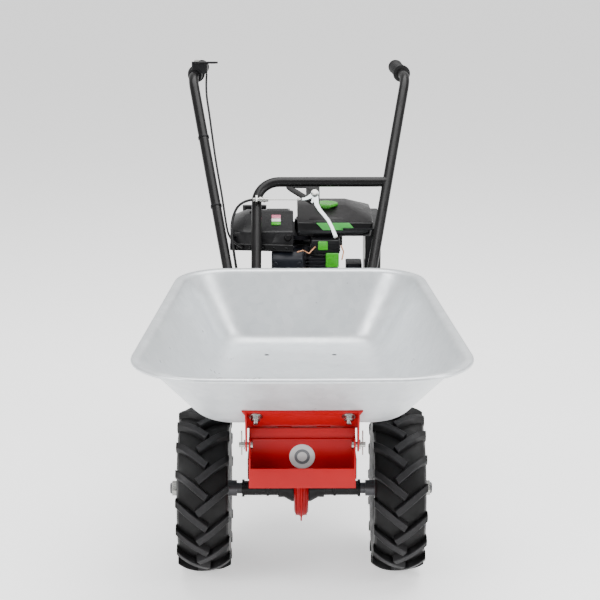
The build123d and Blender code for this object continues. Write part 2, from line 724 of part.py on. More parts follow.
with BuildPart() as rear_stand:
    foot_top = STAND_PAD[2]
    for side, word in SIDES:
        middle_x = side * (RAIL_X[0] + RAIL_X[1]) / 2
        disc(facing_up(foot_top + 3), middle_x, STAND_Y, STAND_TUBE_R, RAIL_Z[0] - foot_top - 3, hole=9)
        block(
            (middle_x - STAND_PAD[0] / 2, middle_x + STAND_PAD[0] / 2),
            (STAND_Y - STAND_PAD[1] / 2, STAND_Y + STAND_PAD[1] / 2), (foot_top, foot_top + 3), corner=5,
        )
keep(rear_stand, "rear_stand")

with BuildPart() as stand_brace:
    brace_half = (RAIL_X[0] + RAIL_X[1]) / 2 - STAND_TUBE_R + 0.5
    block((-brace_half, brace_half), (STAND_Y - 3, STAND_Y + 3), (120, 145))
    for side, word in SIDES:
        disc(
            facing_up(119), side * (RAIL_X[0] + RAIL_X[1]) / 2, STAND_Y, STAND_TUBE_R, 27, mode=Mode.SUBTRACT
        )
keep(stand_brace, "rear_stand")

with BuildPart() as stand_feet:
    for side, word in SIDES:
        middle_x = side * (RAIL_X[0] + RAIL_X[1]) / 2
        block(
            (middle_x - STAND_PAD[0] / 2, middle_x + STAND_PAD[0] / 2),
            (STAND_Y - STAND_PAD[1] / 2, STAND_Y + STAND_PAD[1] / 2), (0, foot_top), corner=5,
        )
keep(stand_feet, "rubber_pads")

SADDLE_THICK = 6
BUFFER_TOP = FLOOR_Z - BIN_SHEET - SADDLE_THICK - CLEAR
with BuildPart() as bin_rests:
    for side, word in SIDES:
        middle_x = side * (RAIL_X[0] + RAIL_X[1]) / 2
        block((middle_x - 15, middle_x + 15), (FLOOR_BOLT_Y - 20, FLOOR_BOLT_Y + 20), (RAIL_Z[1], BUFFER_TOP - 16))
keep(bin_rests, "crossbars")

with BuildPart() as bin_buffers:
    for side, word in SIDES:
        disc(facing_up(BUFFER_TOP - 16), side * (RAIL_X[0] + RAIL_X[1]) / 2, FLOOR_BOLT_Y, 14, 16)
keep(bin_buffers, "rubber_pads")


# ---------------------------------------------------------------- front box and tip hinge
with BuildPart() as front_box:
    block((-BOX_HALF, BOX_HALF), (BOX_BACK_Y, BOX_BACK_Y + SHEET), (BOX_Z[0], BOX_BACK_TOP_Z))
    block((-BOX_HALF, BOX_HALF), (BOX_FRONT_Y, BOX_BACK_Y), (BOX_Z[0], BOX_Z[0] + SHEET))
    block((-BOX_HALF, BOX_HALF), (BOX_FRONT_Y, BOX_FRONT_Y + SHEET), (BOX_Z[0], BOX_LIP_Z))
    for side, word in SIDES:
        plate(
            facing_right(side * BOX_HALF),
            [
                (BOX_FRONT_Y, BOX_Z[0]), (BOX_BACK_Y + SHEET, BOX_Z[0]), (BOX_BACK_Y + SHEET, BOX_Z[1] + 6),
                (HINGE_Y - 14, BOX_Z[1] + 6), (HINGE_Y - 14, HINGE_Z - 6), (BOX_FRONT_Y, BOX_LIP_Z + 18),
            ],
            -side * SHEET, holes=[(HINGE_Y, HINGE_Z)], hole_r=PIN_R,
        )
    block((-BOX_HALF, BOX_HALF), (BOX_BACK_Y - 5, BOX_BACK_Y), (BOX_Z[1] - 2, BOX_Z[1]))
    for side, word in SIDES:
        middle_x = side * (RAIL_X[0] + RAIL_X[1]) / 2
        disc(facing_front(BOX_BACK_Y + SHEET), middle_x, 300, 4, SHEET, mode=Mode.SUBTRACT)
    disc(facing_right(-BOX_HALF - 1), HINGE_Y, HINGE_Z, PIN_R, 2 * BOX_HALF + 2, mode=Mode.SUBTRACT)
keep(front_box, "front_box")

with BuildPart() as box_gusset:
    block((-RAIL_X[1], RAIL_X[1]), (BOX_BACK_Y + SHEET, RAIL_FRONT_Y), (RAIL_Z[0], RAIL_Z[1]))
    for side, word in SIDES:
        middle_x = side * (RAIL_X[0] + RAIL_X[1]) / 2
        disc(facing_front(RAIL_FRONT_Y), middle_x, 300, 4, 4, mode=Mode.SUBTRACT)
keep(box_gusset, "crossbars")

with BuildPart() as box_bolts:
    for side, word in SIDES:
        middle_x = side * (RAIL_X[0] + RAIL_X[1]) / 2
        bolt(facing_front(BOX_BACK_Y), middle_x, 300, 4, RAIL_FRONT_Y - BOX_BACK_Y + 8)
keep(box_bolts, "frame_bolts")

with BuildPart() as emblem:
    disc(facing_front(BOX_BACK_Y), 0, 330, 23.5, 1.2)
keep(emblem, "emblem")

with BuildPart() as hinge_pins:
    for side, word in SIDES:
        inner_x = BOX_HALF - SHEET - 4
        disc(facing_right(side * inner_x), HINGE_Y, HINGE_Z, PIN_R, side * (PIN_END_X - inner_x))
        disc(facing_right(side * inner_x), HINGE_Y, HINGE_Z, 8, side * 4)
        disc(facing_right(side * (BOX_HALF + EAR_GAP + SHEET + 1)), HINGE_Y, HINGE_Z, 9, side * 2)
        disc(
            facing_up(HINGE_Z - 10), side * (PIN_END_X - 5), HINGE_Y, 1.3, 20, mode=Mode.SUBTRACT
        )
keep(hinge_pins, "hinge_pins")

with BuildPart() as r_clips:
    for side, word in SIDES:
        clip_x = side * (PIN_END_X - 5)
        bent_tube(
            [
                (clip_x, HINGE_Y, HINGE_Z - 20), (clip_x, HINGE_Y, HINGE_Z + 24),
                (clip_x, HINGE_Y + 8, HINGE_Z + 24), (clip_x, HINGE_Y + 8, HINGE_Z - 14),
            ],
            3, 1.2,
        )
keep(r_clips, "r_clips")


# ---------------------------------------------------------------- bin
def bin_outline(plane, front_y, rear_y, half_front, half_rear, front_r, rear_r, inset=0):
    """Tapered outline with rounded corners, drawn a given distance inside the nominal one."""
    with BuildSketch(plane) as outline:
        with BuildLine():
            Polyline(
                (-half_front + inset, front_y + inset), (half_front - inset, front_y + inset),
                (half_rear - inset, rear_y - inset), (-half_rear + inset, rear_y - inset),
                close=True,
            )
        make_face()
        corners = outline.vertices().sort_by(Axis.Y)
        fillet(corners[:2], front_r - inset)
        corners = [
            vertex for vertex in outline.vertices().group_by(Axis.Y)[-1]
        ]
        fillet(corners, rear_r - inset)
    return outline.sketch


RIM_LENGTH = RIM_REAR_Y - RIM_FRONT_Y
RIM_RISE = (RIM_REAR_Z - RIM_FRONT_Z) / RIM_LENGTH
RIM_MIDDLE_Y = (RIM_FRONT_Y + RIM_REAR_Y) / 2
RIM_PLANE = Plane(
    origin=(0, RIM_MIDDLE_Y, (RIM_FRONT_Z + RIM_REAR_Z) / 2), x_dir=(1, 0, 0), z_dir=(0, -RIM_RISE, 1)
)


def rim_outline(plane, inset):
    """Outline of the rim, in a plane whose origin is half way along it."""
    half = RIM_LENGTH / 2
    return bin_outline(
        plane, -half, half, RIM_HALF_FRONT, RIM_HALF_REAR, RIM_CORNER_FRONT_R, RIM_CORNER_REAR_R, inset
    )


def floor_outline(z, inset):
    """Outline of the floor."""
    return bin_outline(
        facing_up(z), FLOOR_FRONT_Y, FLOOR_REAR_Y, FLOOR_HALF_FRONT, FLOOR_HALF_REAR,
        FLOOR_CORNER_R, FLOOR_CORNER_R, inset,
    )


with BuildPart() as bin_pan:
    under = FLOOR_Z - BIN_SHEET
    loft([floor_outline(under, 0), rim_outline(RIM_PLANE, RIM_FLANGE)], ruled=True)
    loft(
        [floor_outline(FLOOR_Z, BIN_SHEET * 0.4), rim_outline(RIM_PLANE, RIM_FLANGE + BIN_SHEET)],
        ruled=True, mode=Mode.SUBTRACT,
    )
    with BuildSketch(RIM_PLANE) as flange:
        add(rim_outline(Plane.XY, 0))
        add(rim_outline(Plane.XY, RIM_FLANGE + BIN_SHEET), mode=Mode.SUBTRACT)
    extrude(flange.sketch, amount=-BIN_SHEET)
    with BuildSketch(RIM_PLANE) as bead:
        add(rim_outline(Plane.XY, 0))
        add(rim_outline(Plane.XY, BEAD_WIDTH), mode=Mode.SUBTRACT)
    extrude(bead.sketch, amount=-BEAD_DEPTH)
    for bolt_x in (-FLOOR_BOLT_X, FLOOR_BOLT_X):
        disc(facing_up(under), bolt_x, FLOOR_BOLT_Y, FLOOR_BOLT_R, BIN_SHEET * 2, mode=Mode.SUBTRACT)
keep(bin_pan, "bin")

# The front wall's slope, for the bracket that is bolted to its outside.
WALL_TOP = (RIM_FRONT_Y + RIM_FLANGE, RIM_FRONT_Z)
WALL_FOOT = (FLOOR_FRONT_Y, FLOOR_Z - BIN_SHEET)
wall_run = Vector(0, WALL_TOP[0] - WALL_FOOT[0], WALL_TOP[1] - WALL_FOOT[1]).normalized()
WALL_PLANE = Plane(
    origin=(0, WALL_FOOT[0], WALL_FOOT[1]), x_dir=(1, 0, 0), z_dir=wall_run.cross(Vector(1, 0, 0)) * -1
)
OUT = 1 if WALL_PLANE.z_dir.Z < 0 else -1
UP = 1 if WALL_PLANE.y_dir.Z > 0 else -1
BRACKET_TOP = 69          # along the wall from the floor's edge
BRACKET_LOW = -6
BRACKET_HALF = 103
BRACKET_BOLT = (84, 50)
EAR_X = BOX_HALF + EAR_GAP

with BuildPart() as tip_bracket:
    plate(
        WALL_PLANE,
        [
            (-BRACKET_HALF - 6, UP * BRACKET_TOP), (BRACKET_HALF + 6, UP * BRACKET_TOP),
            (BRACKET_HALF, UP * (BRACKET_TOP - 20)), (BRACKET_HALF, UP * BRACKET_LOW),
            (-BRACKET_HALF, UP * BRACKET_LOW), (-BRACKET_HALF, UP * (BRACKET_TOP - 20)),
        ],
        OUT * SHEET, holes=[(-BRACKET_BOLT[0], UP * BRACKET_BOLT[1]), (BRACKET_BOLT[0], UP * BRACKET_BOLT[1])],
        hole_r=5,
    )
    for side, word in SIDES:
        ear = facing_right(side * EAR_X)
        top_y, top_z = WALL_FOOT[0] + wall_run.Y * BRACKET_TOP, WALL_FOOT[1] + wall_run.Z * BRACKET_TOP
        plate(
            ear,
            [
                (top_y, top_z), (WALL_FOOT[0] + wall_run.Y * BRACKET_LOW, WALL_FOOT[1] + wall_run.Z * BRACKET_LOW),
                (HINGE_Y + 13, HINGE_Z - 2), (HINGE_Y, HINGE_Z - 13), (HINGE_Y - 13, HINGE_Z - 4),
                (top_y - 6, top_z - 14),
            ],
            side * SHEET,
        )
        disc(ear, HINGE_Y, HINGE_Z, 13, side * SHEET)
        disc(ear, HINGE_Y, HINGE_Z, PIN_R + PIN_FIT, side * SHEET, mode=Mode.SUBTRACT)
    for tab_x in (-32, 39):
        plate(
            WALL_PLANE.offset(OUT * SHEET),
            [
                (tab_x - 13, UP * (BRACKET_LOW + 8)), (tab_x + 13, UP * (BRACKET_LOW + 8)),
                (tab_x + 9, UP * (BRACKET_LOW - 2)), (tab_x - 9, UP * (BRACKET_LOW - 2)),
            ],
            OUT * 2,
        )
keep(tip_bracket, "tip_bracket")

with BuildPart() as bin_front_bolts:
    for side, word in SIDES:
        bolt_at = WALL_PLANE.offset(OUT * SHEET)
        place = (side * BRACKET_BOLT[0], UP * BRACKET_BOLT[1])
        disc(bolt_at, place[0], place[1], 13, OUT * 2)
        hexagon(bolt_at.offset(OUT * 2), place[0], place[1], 9, OUT * 7)
        disc(bolt_at.offset(OUT * 9), place[0], place[1], 4.8, OUT * 7)
        disc(bolt_at, place[0], place[1], 4.8, -OUT * SHEET)
keep(bin_front_bolts, "bin_front_bolts")

with BuildPart() as bin_saddle:
    block(
        (-RAIL_X[1], RAIL_X[1]), (FLOOR_BOLT_Y - 22, FLOOR_BOLT_Y + 22),
        (FLOOR_Z - BIN_SHEET - SADDLE_THICK, FLOOR_Z - BIN_SHEET), corner=8,
    )
    saddle_under = facing_up(FLOOR_Z - BIN_SHEET - SADDLE_THICK)
    for bolt_x in (-FLOOR_BOLT_X, FLOOR_BOLT_X):
        disc(saddle_under, bolt_x, FLOOR_BOLT_Y, FLOOR_BOLT_R, SADDLE_THICK, mode=Mode.SUBTRACT)
        disc(saddle_under, bolt_x, FLOOR_BOLT_Y, FLOOR_BOLT_HEAD[0], FLOOR_BOLT_HEAD[1], mode=Mode.SUBTRACT)
keep(bin_saddle, "bin_saddle")

with BuildPart() as floor_bolts:
    for bolt_x in (-FLOOR_BOLT_X, FLOOR_BOLT_X):
        disc(saddle_under, bolt_x, FLOOR_BOLT_Y, FLOOR_BOLT_R, SADDLE_THICK + BIN_SHEET)
        disc(saddle_under, bolt_x, FLOOR_BOLT_Y, FLOOR_BOLT_HEAD[0], FLOOR_BOLT_HEAD[1])
keep(floor_bolts, "floor_bolts")


# ---------------------------------------------------------------- handlebar
FOOT_X = RAIL_X[1] + TUBE_R
HANDLE_BENDS = [40, 60, 60]
GRIP_CAP = 4              # closed end of a grip, beyond the tube


def grip_end(side):
    """Outer end of a grip, and the direction from it back along the tube."""
    end = Vector(side * GRIP_END[0], GRIP_END[1], GRIP_END[2])
    top = Vector(side * bar_x(TOP_Z), bar_y(TOP_Z), TOP_Z)
    return end, (top - end).normalized()


def handle_route(side):
    """Centre line of a handle tube, from its foot on the rail to just inside the grip's end."""
    end, back = grip_end(side)
    inside = end + back * (GRIP_CAP + CLEAR)
    return [
        (side * FOOT_X, bar_y(KNEE_Z), RAIL_Z[0]),
        (side * FOOT_X, bar_y(KNEE_Z), RAIL_Z[1] + 25),
        (side * bar_x(KNEE_Z), bar_y(KNEE_Z), KNEE_Z),
        (side * bar_x(TOP_Z), bar_y(TOP_Z), TOP_Z),
        (inside.X, inside.Y, inside.Z),
    ]


for side, word in SIDES:
    with BuildPart() as handle_tube:
        bent_tube(handle_route(side), HANDLE_BENDS, TUBE_R, TUBE_R - TUBE_WALL)
        for bolt_z in HANDLE_BOLT_Z:
            disc(facing_right(side * FOOT_X - 20), bar_y(KNEE_Z), bolt_z, 4, 40, mode=Mode.SUBTRACT)
    keep(handle_tube, word + "_handle_tube")

with BuildPart() as handle_bolts:
    for side, word in SIDES:
        for bolt_z in HANDLE_BOLT_Z:
            outer_x = FOOT_X + TUBE_R
            disc(facing_right(side * outer_x), bar_y(KNEE_Z), bolt_z, 4, -side * (outer_x - RAIL_X[0] + 8))
            disc(facing_right(side * outer_x), bar_y(KNEE_Z), bolt_z, 7, side * 5)
            disc(facing_right(side * RAIL_X[0]), bar_y(KNEE_Z), bolt_z, 7, -side * 6)
keep(handle_bolts, "frame_bolts")


def make_grip(side):
    """Rubber grip sleeve with a guard ring at its inner end and a closed outer end."""
    end, back = grip_end(side)
    cap = Plane(origin=end, z_dir=back)
    with BuildPart() as grip:
        disc(cap, 0, 0, GRIP_R, GRIP_LENGTH)
        disc(cap.offset(GRIP_LENGTH - 6), 0, 0, GRIP_RING_R, 6)
        disc(cap, 0, 0, GRIP_RING_R - 2, 5)
        disc(cap.offset(GRIP_CAP), 0, 0, TUBE_R, GRIP_LENGTH, mode=Mode.SUBTRACT)
    keep(grip, "grips")


for side, word in SIDES:
    make_grip(side)

with BuildPart() as cross_tube:
    bent_tube(
        [
            (bar_x(CROSS_Z), bar_y(CROSS_Z), CROSS_Z), (LEG_X, bar_y(CROSS_Z), CROSS_Z),
            (LEG_X, bar_y(KNEE_Z), KNEE_Z), (-(RAIL_X[0] + RAIL_X[1]) / 2, bar_y(KNEE_Z), RAIL_Z[1]),
        ],
        [50, 60], TUBE_R, TUBE_R - TUBE_WALL,
    )
    bent_tube(handle_route(RIGHT), HANDLE_BENDS, TUBE_R, mode=Mode.SUBTRACT)
    block((-130, 0), (300, 420), (RAIL_Z[1] - 20, RAIL_Z[1]), mode=Mode.SUBTRACT)
keep(cross_tube, "cross_tube")

# The handlebar's own plane: its second axis runs up the tubes and its third faces forwards.
lean = Vector(0, BAR_LEAN, 1).normalized()
BAR_PLANE = Plane(origin=(0, BAR_Y, BAR_Z), x_dir=(1, 0, 0), z_dir=Vector(1, 0, 0).cross(lean))


def along_bar(z):
    """Distance up the handlebar's plane for a height."""
    return (z - BAR_Z) / lean.Z


with BuildPart() as lever_bracket:
    tube_v = along_bar(CROSS_Z) - TUBE_R
    plate(
        BAR_PLANE.offset(-2),
        [(-34, tube_v), (44, tube_v), (44, tube_v - 44), (24, tube_v - 44), (-22, tube_v - 12)],
        4, corner=3, holes=[(LEVER_PIVOT[0], along_bar(LEVER_PIVOT[1]))], hole_r=4,
    )
    plate(
        BAR_PLANE.offset(-2),
        [(-14, tube_v - 4), (14, tube_v - 4), (14, tube_v - 22), (-6, tube_v - 8)],
        4, mode=Mode.SUBTRACT,
    )
keep(lever_bracket, "lever_bracket")

LEVER_V = along_bar(LEVER_PIVOT[1])
LEVER_OUT = 14            # from the bar's plane to the back of the lever
LEVER_THICK = 5
with BuildPart() as drive_lever:
    with BuildSketch(BAR_PLANE.offset(LEVER_OUT)) as blade:
        with BuildLine():
            Spline((3, LEVER_V - 9), (LEVER_PIVOT[0], LEVER_V + 11), (60, LEVER_V - 42), (84, LEVER_V - 108))
            Line((84, LEVER_V - 108), (74, LEVER_V - 111))
            Spline((74, LEVER_V - 111), (48, LEVER_V - 50), (LEVER_PIVOT[0] - 2, LEVER_V - 12), (3, LEVER_V - 20))
            Line((3, LEVER_V - 20), (3, LEVER_V - 9))
        make_face()
        with Locations((LEVER_PIVOT[0], LEVER_V)):
            Circle(12)
            Circle(4 + PIN_FIT, mode=Mode.SUBTRACT)
    extrude(blade.sketch, amount=LEVER_THICK)
keep(drive_lever, "drive_lever")

with BuildPart() as lever_pivot_bolt:
    disc(BAR_PLANE.offset(-2), LEVER_PIVOT[0], LEVER_V, 4, LEVER_OUT + LEVER_THICK + 3)
    disc(BAR_PLANE.offset(LEVER_OUT + LEVER_THICK + CLEAR), LEVER_PIVOT[0], LEVER_V, 7, 5)
    disc(BAR_PLANE.offset(2), LEVER_PIVOT[0], LEVER_V, 7, LEVER_OUT - 2 - CLEAR)
    disc(BAR_PLANE.offset(-2), LEVER_PIVOT[0], LEVER_V, 7, -6)
keep(lever_pivot_bolt, "pivot_bolts")

WIRE_V = LEVER_V - 14.5
WIRE_OUT = LEVER_OUT + LEVER_THICK / 2
SLEEVE_X = (LEG_X - 8, LEG_X + 26)
sleeve = Plane(
    origin=BAR_PLANE.from_local_coords(Vector(SLEEVE_X[0], WIRE_V, WIRE_OUT)), x_dir=(0, 0, 1), z_dir=(1, 0, 0)
)
with BuildPart() as cable_adjuster:
    plate(
        BAR_PLANE.offset(TUBE_R),
        [(LEG_X - 2, WIRE_V - 8), (LEG_X + 2, WIRE_V - 8), (LEG_X + 2, WIRE_V + 8), (LEG_X - 2, WIRE_V + 8)],
        WIRE_OUT - TUBE_R + 6,
    )
    disc(sleeve, 0, 0, 4.5, SLEEVE_X[1] - SLEEVE_X[0])
    disc(sleeve.offset(14), 0, 0, 6.5, 5)
    disc(sleeve.offset(23), 0, 0, 6, 4)
    disc(sleeve, 0, 0, WIRE_R + CLEAR, SLEEVE_X[1] - SLEEVE_X[0], mode=Mode.SUBTRACT)
keep(cable_adjuster, "cable_adjuster")

with BuildPart() as clutch_wire:
    nose_x = 3 - CLEAR
    disc(sleeve.offset(2), 0, 0, WIRE_R, nose_x - SLEEVE_X[0] - 2)
    disc(sleeve.offset(nose_x - SLEEVE_X[0] - 6), 0, 0, 2.5, 6)
keep(clutch_wire, "drive_cable")

ADJUSTER_MOUTH = sleeve.origin
with BuildPart() as drive_cable:
    mouth_y, mouth_z = ADJUSTER_MOUTH.Y, ADJUSTER_MOUTH.Z
    cable(
        "drive cable",
        [
            (SLEEVE_X[0] - 0.9, mouth_y, mouth_z), (LEG_X - 36, mouth_y - 3, mouth_z - 3),
            (-149, mouth_y - 22, mouth_z - 38), (-148, 428, 585), (-138, 406, 524), (-128, 396, 458),
            (-125, 395, 394), (-124, 396, RAIL_Z[1] + 7.4),
        ],
        CABLE_R,
    )
keep(drive_cable, "drive_cable")

with BuildPart() as cable_stop:
    block((-132, -RAIL_X[1]), (388, 404), (RAIL_Z[1] - 4, RAIL_Z[1] + 1))
    disc(facing_up(RAIL_Z[1] + 1), -124, 396, 5, 6)
keep(cable_stop, "arm_mount")

tube_dir = Vector(-BAR_SPREAD, BAR_LEAN, 1).normalized()
CLAMP_GAP = 6             # between the left grip and the throttle's clamp
CLAMP_WIDTH = 20
THROTTLE_TOP_Z = 925
left_end, left_back = grip_end(LEFT)
clamp_start = left_end + left_back * (GRIP_LENGTH + CLAMP_GAP)
clamp_middle = clamp_start + left_back * (CLAMP_WIDTH / 2)
with BuildPart() as throttle_clamp:
    clamp_plane = Plane(origin=clamp_start, z_dir=left_back)
    disc(clamp_plane, 0, 0, TUBE_R + 5, CLAMP_WIDTH, hole=TUBE_R + 0.02)
    block(
        (clamp_middle.X - 8, clamp_middle.X + 28), (clamp_middle.Y - 8, clamp_middle.Y + 8),
        (clamp_middle.Z + 4, THROTTLE_TOP_Z), corner=3,
    )
    disc(clamp_plane, 0, 0, TUBE_R + 0.02, CLAMP_WIDTH, mode=Mode.SUBTRACT)
keep(throttle_clamp, "tube_clamps")

with BuildPart() as throttle_lever:
    hinge_plane = facing_up(THROTTLE_TOP_Z + CLEAR)
    px, py = clamp_middle.X + 4, clamp_middle.Y
    plate(
        hinge_plane,
        [(px - 12, py - 5), (px + 40, py - 8), (px + 48, py - 4), (px + 48, py + 4), (px + 40, py + 6), (px - 12, py + 5)],
        4,
    )
    disc(hinge_plane, px, py, 9, 4)
    disc(hinge_plane, px, py, 3 + PIN_FIT, 4, mode=Mode.SUBTRACT)
    print("throttle pivot", round(px, 3), round(py, 3))
keep(throttle_lever, "throttle_lever")

with BuildPart() as throttle_pivot:
    disc(facing_up(THROTTLE_TOP_Z), px, py, 3, 5)
    disc(facing_up(THROTTLE_TOP_Z + 5), px, py, 6, 3)
keep(throttle_pivot, "pivot_bolts")

with BuildPart() as throttle_cable:
    box_x, box_y, box_z = clamp_middle.X + 22, clamp_middle.Y, clamp_middle.Z + 4
    cable(
        "throttle cable",
        [
            (box_x, box_y, box_z - 2), (box_x + 2, box_y - 20, box_z - 36), (-203, 655, 822),
            (-195.1, 620.6, 774), (-185, 566, 722), (-171, 512, 662), (-163, 474, 618), (-156, 452, 584),
            (-138, 443, 566), (-126, SHROUD_FOOT_Y + 5, 558),
        ],
        CABLE_R - 0.5,
    )
keep(throttle_cable, "throttle_cable")

with BuildPart() as cable_ties:
    for tie_z in (640, 775):
        tie_plane = Plane(origin=(-bar_x(tie_z), bar_y(tie_z), tie_z), z_dir=tube_dir)
        disc(tie_plane, 0, 0, TUBE_R + 1.6, 5, hole=TUBE_R + 0.02)
keep(cable_ties, "tube_clamps")


# ---------------------------------------------------------------- engine
PLATE_TOP = RAIL_Z[1] + PLATE_THICK
with BuildPart() as crankcase:
    block((-92, 92), (512, 690), (PLATE_TOP, CRANKCASE_TOP_Z), corner=24)
    block((-84, 84), (520, 682), (PLATE_TOP + 8, CRANKCASE_TOP_Z - 8), corner=18, mode=Mode.SUBTRACT)
    disc(facing_up(CRANKCASE_TOP_Z), 0, CRANK_Y, 30, SHROUD_Z[0] - CRANKCASE_TOP_Z)
    disc(facing_up(PLATE_TOP), 0, CRANK_Y, CRANK_R + RUNNING_FIT, 400, mode=Mode.SUBTRACT)
    disc(facing_front(530), 42, 488, 26, 20, mode=Mode.ADD)
    block((16, 68), (500, 530), (CRANKCASE_TOP_Z - 2, 520))
    for bolt_x in (-50, 50):
        for bolt_y in (530, 670):
            disc(facing_up(PLATE_TOP), bolt_x, bolt_y, 4, 8, mode=Mode.SUBTRACT)
keep(crankcase, "crankcase")

with BuildPart() as engine_bolts:
    for bolt_x in (-50, 50):
        for bolt_y in (530, 670):
            disc(facing_up(RAIL_Z[1]), bolt_x, bolt_y, 7.5, -6)
            disc(facing_up(RAIL_Z[1]), bolt_x, bolt_y, 4, PLATE_THICK + 8)
keep(engine_bolts, "frame_bolts")

FINS_TOP_Z = 540
with BuildPart() as cylinder:
    disc(facing_front(500), 42, 488, 27, 46)
    for fin_number in range(6):
        fin_y = 498 - 8 * fin_number
        block((12, 84), (fin_y - 3, fin_y), (CRANKCASE_TOP_Z + 12, FINS_TOP_Z), corner=1)
keep(cylinder, "cylinder")

with BuildPart() as spark_plug:
    disc(facing_front(454), 42, 488, 7, 6)
    disc(facing_front(448), 42, 488, 10, 3)
keep(spark_plug, "spark_plug")

with BuildPart() as muffler:
    block((-62, 8), (ENGINE_FRONT_Y + 4, 508), (CRANKCASE_TOP_Z + 14, 546), corner=10)
    block((-58, 4), (ENGINE_FRONT_Y + 8, 504), (CRANKCASE_TOP_Z + 18, 542), corner=8, mode=Mode.SUBTRACT)
    disc(facing_front(ENGINE_FRONT_Y + 10), -40, 470, 6, 8, mode=Mode.SUBTRACT)
keep(muffler, "muffler")

with BuildPart() as carburettor:
    block((104, 140), (540, 600), (445, 500), corner=6)
    disc(facing_right(68), 570, 472, 12, 36)
    block((60, 68), (555, 585), (PLATE_TOP + 101, 500))
keep(carburettor, "carburettor")

FILTER_FRONT_Y = 454
with BuildPart() as air_filter_box:
    block((40, 86), (FILTER_FRONT_Y - 4, FILTER_FRONT_Y), (513, 571), corner=1.5)
    block((24, 88), (FILTER_FRONT_Y, 512), (FINS_TOP_Z + 2, TANK_Z[0] - 4), corner=6)
    block((27, 85), (FILTER_FRONT_Y + 3, 509), (FINS_TOP_Z + 5, TANK_Z[0] - 7), corner=4, mode=Mode.SUBTRACT)
keep(air_filter_box, "air_filter_box")


def sloped_case(x, foot_y, z, wall):
    """Moulded cover whose front leans back beside the handlebar, hollow inside."""
    top_y = bar_y(z[1]) + BAR_TO_ENGINE
    profile = [(foot_y, z[0]), (ENGINE_REAR_Y, z[0]), (ENGINE_REAR_Y, z[1]), (top_y, z[1])]
    with BuildPart() as case:
        plate(facing_right(x[0]), profile, x[1] - x[0])
        fillet(case.edges().filter_by(Axis.Z), 20)
        fillet(case.faces().sort_by(Axis.Z)[-1].edges(), 8)
        inner = [
            (foot_y + wall * 1.6, z[0] + wall), (ENGINE_REAR_Y - wall, z[0] + wall),
            (ENGINE_REAR_Y - wall, z[1] - wall * 1.6), (top_y + wall * 1.6, z[1] - wall * 1.6),
        ]
        plate(facing_right(x[0] + wall), inner, x[1] - x[0] - 2 * wall, mode=Mode.SUBTRACT)
    return case.part


with BuildPart() as left_shroud:
    shroud_x = (ENGINE_X[0], SHROUD_SPLIT_X[0])
    add(sloped_case(shroud_x, SHROUD_FOOT_Y, SHROUD_Z, ENGINE_WALL))
    block(
        (shroud_x[0] + 8, shroud_x[1] + 1), (SHROUD_FOOT_Y + 12, ENGINE_REAR_Y - 8),
        (SHROUD_Z[0], SHROUD_Z[0] + ENGINE_WALL), mode=Mode.SUBTRACT,
    )
    block(
        (shroud_x[1] - ENGINE_WALL, shroud_x[1]), (CRANK_Y - FLYWHEEL_R - 8, CRANK_Y + FLYWHEEL_R + 8),
        (SHROUD_Z[0], SHROUD_Z[0] + 44), mode=Mode.SUBTRACT,
    )
    disc(facing_front(ENGINE_REAR_Y), STARTER[0], STARTER[1], 4, ENGINE_WALL, mode=Mode.SUBTRACT)
keep(left_shroud, "left_shroud")

with BuildPart() as fan_plate:
    block((-90, 90), (514, 686), (SHROUD_Z[0], SHROUD_Z[0] + 3), corner=30)
    disc(facing_up(SHROUD_Z[0]), 0, CRANK_Y, CRANK_R + 1, 4, mode=Mode.SUBTRACT)
    block((95, ENGINE_X[1]), (470, 700), (SHROUD_Z[0] + 44, TANK_Z[0]), corner=4)
    block((84, 95), (520, 680), (SHROUD_Z[0], TANK_Z[0] - 4))
keep(fan_plate, "fan_plate")

CAP_PLACE = (60, 560)
with BuildPart() as fuel_tank:
    add(sloped_case((SHROUD_SPLIT_X[1], 163), TANK_FOOT_Y, TANK_Z, 4))
    disc(facing_up(TANK_Z[1] - 10), CAP_PLACE[0], CAP_PLACE[1], 18, 20, mode=Mode.SUBTRACT)
keep(fuel_tank, "fuel_tank")

with BuildPart() as fuel_cap:
    disc(facing_up(TANK_Z[1] + CLEAR), CAP_PLACE[0], CAP_PLACE[1], 26, 7)
    disc(facing_up(TANK_Z[1] - 12), CAP_PLACE[0], CAP_PLACE[1], 17, 13)
keep(fuel_cap, "fuel_cap")

with BuildPart() as engine_leg:
    block((145, ENGINE_X[1]), (500, 640), (PLATE_TOP + 90, SHROUD_Z[0] + 44), corner=6)
    block((149, ENGINE_X[1] - 4), (504, 636), (PLATE_TOP + 90, SHROUD_Z[0] + 38), corner=4, mode=Mode.SUBTRACT)
keep(engine_leg, "fan_plate")

STARTER_TRAVEL = 120
with BuildPart() as starter_handle:
    disc(facing_front(ENGINE_REAR_Y + 18), STARTER[0], STARTER[1], 9, 12)
    block(
        (STARTER[0] - 28, STARTER[0] + 28), (ENGINE_REAR_Y + 4, ENGINE_REAR_Y + 22),
        (STARTER[1] - 8, STARTER[1] + 8), corner=7,
    )
keep(starter_handle, "starter_handle")

with BuildPart() as starter_rope:
    disc(facing_front(ENGINE_REAR_Y + 4), STARTER[0], STARTER[1], 2, STARTER_TRAVEL + 16)
keep(starter_rope, "starter_handle")


# ---------------------------------------------------------------- placing and writing
os.makedirs("parts", exist_ok=True)
low_y = min(part.bounding_box().min.Y for parts in nodes.values() for part in parts)
high_y = max(part.bounding_box().max.Y for parts in nodes.values() for part in parts)
to_origin = Location((0, -(low_y + high_y) / 2, 0))
print("axle at Y", round(-(low_y + high_y) / 2, 3), "of", len(nodes), "nodes")
for name, parts in nodes.items():
    solids = [solid.moved(to_origin) for part in parts for solid in part.solids()]
    node = Compound(solids, label=name)
    export_step(node, "parts/" + name + ".step")
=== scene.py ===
import json
import math

import bmesh
import bpy
from mathutils import Matrix, Vector


